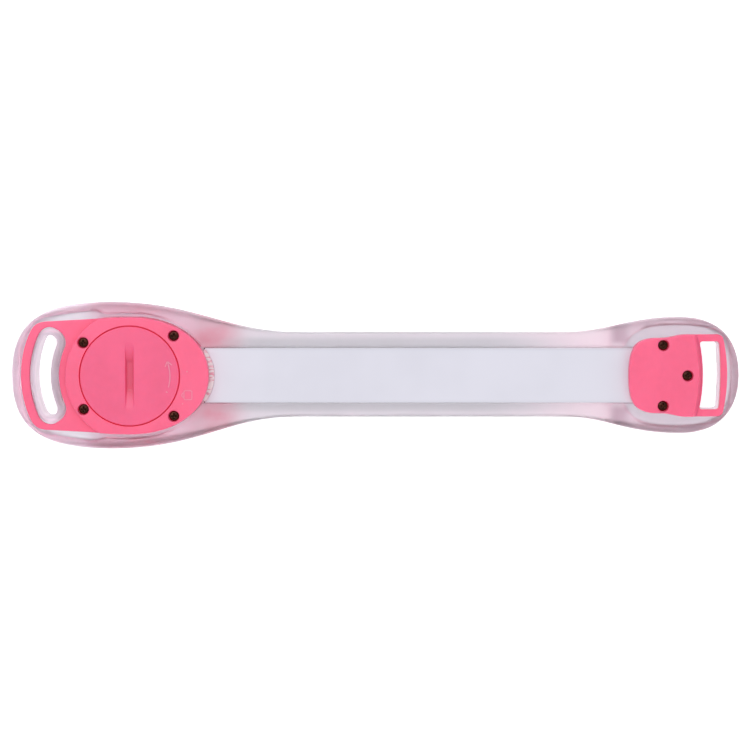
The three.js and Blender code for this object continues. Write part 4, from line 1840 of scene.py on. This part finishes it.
@dataclass
class LightBoard:
    """The circuit board with its lamps, driver, small components and switch."""

    end_cap: float = 0.3
    tin: float = 0.02
    lens_inset: float = 0.35
    lens_edge: float = 0.2
    lens_stand: float = 0.12
    leg_count: int = 4
    leg_inset: float = 0.5
    leg_half_width: float = 0.15
    leg_reach: float = 0.55
    leg_thickness: float = 0.2

    def terminals(self, node: str) -> None:
        """Adds the tinned ends of a small two-ended component.

        Args:
            node: The component.
        """
        (x0, x1), (y0, y1), (bottom, top) = extents(node)
        left, right = x0 - self.tin, x1 + self.tin
        shape = Shape()
        for start, end in ((y0 - self.tin, y0 + self.end_cap), (y1 - self.end_cap, y1 + self.tin)):
            loop = evenly([(left, start), (right, start), (right, end), (left, end)], 48)
            shape.plate(loop, top, bottom - self.tin, 0.04)
        shape.piece(f"{node}_ends", TINNED, Body.BAND)

    def lens(self, node: str) -> None:
        """Adds the phosphor window on the side of a lamp that faces the light guide.

        Args:
            node: The lamp.
        """
        (_, face), (y0, y1), (bottom, top) = extents(node)
        back, front = face - self.lens_edge, face + self.lens_stand
        start, end = y0 + self.lens_inset, y1 - self.lens_inset
        shape = Shape()
        loop = evenly([(back, start), (front, start), (front, end), (back, end)], 64)
        shape.plate(loop, top - self.lens_edge, bottom + self.lens_edge, 0.05)
        shape.piece(f"{node}_window", PHOSPHOR, Body.BAND)

    def legs(self) -> None:
        """Adds the driver chip's eight gull-wing legs."""
        (x0, x1), (y0, y1), (_, top) = extents("driver_chip")
        solder = top - self.tin
        spacing = (x1 - x0 - 2 * self.leg_inset) / (self.leg_count - 1)
        shape = Shape()
        for index in range(self.leg_count):
            x = x0 + self.leg_inset + index * spacing
            left, right = x - self.leg_half_width, x + self.leg_half_width
            for edge, out in ((y0, -1), (y1, 1)):
                start, end = edge - out * 0.05, edge + out * self.leg_reach
                loop = [(left, start), (right, start), (right, end), (left, end)]
                loop = loop if out > 0 else loop[::-1]
                shape.plate(evenly(loop, 32), solder, solder - self.leg_thickness, 0.03)
        shape.piece("driver_legs", TINNED, Body.BAND)

    def build(self) -> None:
        """Dresses the board's parts and adds their small details."""
        dress("circuit_board", MASK, 0.06)
        dress("driver_chip", BLACK, 0.1)
        self.legs()
        for node in ("led_upper", "led_lower"):
            dress(node, WHITE, 0.08)
            self.lens(node)
        dress("capacitor", CERAMIC, 0.06)
        for node in ("timing_resistor", "led_resistor"):
            dress(node, BLACK, 0.04)
        for node in ("capacitor", "timing_resistor", "led_resistor"):
            self.terminals(node)
        dress("switch_body", BLACK, 0.1)
        dress("switch_plunger", WHITE, 0.06)


@dataclass
class FrontButton:
    """The round button on the lit side, dished, with an open ring and a bar raised on its face."""

    face_radius: float = 5.6
    flange_radius: float = 6.5
    flange_height: float = 0.38
    sides: int = 112
    mark_radius: float = 1.5
    mark_line: float = 0.2
    mark_foot: float = 0.14
    mark_rise: float = 0.09

    def build(self) -> None:
        """Makes the button's cap and its raised mark."""
        bottom, top = levels("button_cap")
        x, y, _ = middle("button_cap")
        cap = Shape()
        flange = top - self.flange_height
        cap.revolve(
            (x, y),
            [
                (0, bottom + 0.12),
                (2.2, bottom + 0.1),
                (3.6, bottom + 0.02),
                (4.4, bottom),
                (5.0, bottom + 0.1),
                (5.4, bottom + 0.36),
                (self.face_radius, bottom + 0.8),
                (self.face_radius, flange),
                (self.flange_radius, flange),
                (self.flange_radius, top),
                (0, top),
            ],
            self.sides,
        )
        cap.piece("press_button", PINK, Body.BUTTON, ["button_cap"])
        mark = Shape()
        level = bottom + self.mark_foot
        for line in (arc((x, y), self.mark_radius, 120, 420, 40), [(x, y + 0.6), (x, y + 2.0)]):
            mark.ribbon(line, self.mark_line, level, -self.mark_rise)
        mark.piece("button_mark", HIGHLIGHT_PINK, Body.BUTTON)


# ------------------------------------------------------------------ the end clamp


@dataclass
class EndClamp:
    """The narrow end's cover: a raised body with a sloping shoulder, and the strap frame beyond it."""

    frame_top: float = 9.0
    frame_edge: float = 0.35
    arc_x: float = 45.7
    shoulder_radius: float = 44.45
    shoulder_slope: float = 1.1
    slot_near_radius: float = 45.9
    slot_far_radius: float = 100.15
    slot_far_x: float = 96.6
    slot_half_length: float = 9.55
    slot_corner: float = 0.8
    slot_edge: float = 0.22
    body_gap: float = 0.02
    body_edge: float = 0.55
    body_edge_steps: int = 6
    body_foot: float = 0.6
    shoulder_start: float = 0.15
    shoulder_levels: tuple[Span, ...] = ((0.25, 10.0), (0.55, 9.45), (1.0, 9.0))
    gate_place: Point = (-0.9, -0.7)

    def outline(self) -> Loop:
        """The end cover seen from above, with its waist and its square outer corners."""
        left, right = extents("end_cover")[0]
        upper = [
            *bezier((left, 0), (left, 7), (left + 1.3, 10.4), (left + 7.8, 10.5)),
            *bezier((left + 7.8, 10.5), (left + 12.8, 10.5), (left + 12.8, 11.5), (left + 16.3, 11.5))[1:],
            *bezier((right - 3.2, 11.5), (right - 1.8, 11.5), (right - 1.3, 11), (right - 1.1, 10.1)),
            *bezier((right - 1.1, 10.1), (right - 0.4, 7), (right, 3.5), (right, 0))[1:],
        ]
        return evenly(mirrored(upper), 400)

    def body_loop(self, pull: float, radius: float) -> Loop:
        """The raised body's outline at one level.

        Args:
            pull: How far it is drawn in from the cover's outline.
            radius: The radius of the arc that ends it.

        Returns:
            The outline.
        """
        loop = inset(self.outline(), pull)
        return evenly([(min(x, self.arc_x + math.sqrt(radius * radius - y * y)), y) for x, y in loop], 400)

    def slot_loop(self) -> Loop:
        """The strap slot: a rounded rectangle whose two long sides are bent to arcs of their own."""
        width = self.slot_far_x - self.arc_x - self.slot_near_radius
        centre = (width / 2, 0.0)
        flat = rounded_rectangle(centre, width / 2, self.slot_half_length, self.slot_corner, 8)
        bent = []
        for across, y in evenly(flat, 140):
            near = self.arc_x + math.sqrt(self.slot_near_radius**2 - y * y)
            far = self.slot_far_x - self.slot_far_radius + math.sqrt(self.slot_far_radius**2 - y * y)
            bent.append((near + (far - near) * across / width, y))
        return bent

    def cover(self) -> bpy.types.Object:
        """Makes the end cover.

        Returns:
            The cover.
        """
        bottom, top = levels("end_cover")
        shape = Shape()
        holes = [Hole(self.slot_loop(), self.slot_edge), *SCREW_CLEARANCE.round_screws("end_screw")]
        shape.plate(self.outline(), self.frame_top, bottom, self.frame_edge, holes)
        rings = []
        start = self.shoulder_radius + self.shoulder_start
        for drop, pull in quarter_round(self.body_edge, self.body_edge_steps):
            radius = start - 0.4 * pull / self.body_edge
            rings.append(shape.ring(self.body_loop(pull + self.body_gap, radius), top - drop))
        foot = self.shoulder_radius + self.shoulder_slope
        for share, level in self.shoulder_levels:
            radius = start + (foot - start) * share
            rings.append(shape.ring(self.body_loop(self.body_gap, radius), level))
        rings.append(shape.ring(self.body_loop(self.body_gap, foot), self.frame_top - self.body_foot))
        shape.skin(rings)
        seats, _ = shape.sunk(SCREW_SEAT.round_screws("end_screw"), top, bottom)
        shape.cap(rings[0], *seats)
        shape.cap(rings[-1])
        return shape.piece("end_moulding", PINK, Body.BAND, ["end_cover"])

    def gate_mark(self) -> None:
        """Makes the small round stub that the moulding gate left on the strap frame."""
        x = extents("end_cover")[0][1] + self.gate_place[0]
        level = self.frame_top
        shape = Shape()
        crown = level + 0.08
        profile = [(0.3, level - 0.05), (0.26, level + 0.05), (0.12, crown), (0, crown)]
        shape.revolve((x, self.gate_place[1]), profile, 20)
        shape.piece("gate_stub", PINK, Body.BAND)

    def build(self) -> None:
        """Makes the clamp's pieces."""
        self.cover()
        self.gate_mark()
        dress("end_anchor", PINK, 0.25)
        for node in screw_nodes("end_screw"):
            CrossScrew(node).build()


# ------------------------------------------------------------------ studio


@dataclass(frozen=True)
class Softbox:
    """A square soft light that faces the band. Its sizes are metres, and its power is watts."""

    name: str
    place: tuple[float, float, float]
    size: float
    power: float

    def hang(self) -> None:
        """Puts the light in the scene."""
        data = bpy.data.lights.new(self.name, "AREA")
        data.shape, data.size, data.energy = "SQUARE", self.size, self.power
        light = placed(self.name, data)
        light.location = self.place
        light.rotation_euler = (-light.location).to_track_quat("-Z", "Y").to_euler()


@dataclass
class Studio:
    """A pale floor, soft light and the camera, which looks almost straight down."""

    tilt: float = 3.0
    distance: float = 0.70
    width_in_view: float = 0.2107
    aim_x: float = -0.2
    sky: float = 0.72
    key: Softbox = Softbox("key", (-0.25, 0.35, 0.8), 0.7, 2.6)
    fill: Softbox = Softbox("fill", (0.5, -0.4, 0.7), 0.6, 0.9)
    tinted_bounces: int = 10
    clear_bounces: int = 20
    floor_half: float = 3000.0
    floor_level: float = -0.05

    def floor(self) -> None:
        """Lays the floor just under the band."""
        half = self.floor_half
        shape = Shape()
        loop = [(-half, -half), (half, -half), (half, half), (-half, half)]
        shape.faces.append(tuple(shape.ring(loop, self.floor_level)))
        mesh = bpy.data.meshes.new("floor")
        mesh.from_pydata([Vector(p) * MM for p in shape.points], [], shape.faces)
        mesh.materials.append(PAPER.material())
        placed("floor", mesh)

    def camera(self) -> None:
        """Sets the camera up over the middle of the band."""
        data = bpy.data.cameras.new("camera")
        data.lens = data.sensor_width / 2 / (self.width_in_view / 2 / self.distance)
        data.clip_start, data.clip_end = 0.01, 20.0
        camera = placed("camera", data)
        low, high = CAD_BOUNDS
        lean = math.radians(self.tilt)
        target = (low + high) / 2 + Vector((self.aim_x * MM, 0, 0))
        camera.location = target + Vector((0, math.sin(lean), math.cos(lean))) * self.distance
        camera.rotation_euler = (-lean, 0, 0)
        bpy.context.scene.camera = camera

    def sky_light(self) -> None:
        """Fills the studio with even white light."""
        world = bpy.data.worlds.new("studio")
        world.use_nodes = True
        background = world.node_tree.nodes["Background"]
        background.inputs["Color"].default_value = (1, 1, 1, 1)
        background.inputs["Strength"].default_value = self.sky
        bpy.context.scene.world = world

    def build(self) -> None:
        """Makes the studio."""
        scene = bpy.context.scene
        scene.view_settings.view_transform = "Standard"
        scene.cycles.max_bounces = scene.cycles.transmission_bounces = self.clear_bounces
        scene.cycles.diffuse_bounces = self.tinted_bounces
        self.floor()
        self.sky_light()
        self.key.hang()
        self.fill.hang()
        self.camera()


def main() -> None:
    """Builds the sub-assemblies in order, then the studio."""
    logging.basicConfig(level=logging.INFO, format="%(message)s")
    kinds = (Band, BatteryHousing, PowerPack, LightBoard, FrontButton, EndClamp, Studio)
    for assembly in (kind() for kind in kinds):
        LOG.info("%s", type(assembly).__name__)
        assembly.build()


if __name__ == "__main__":
    main()
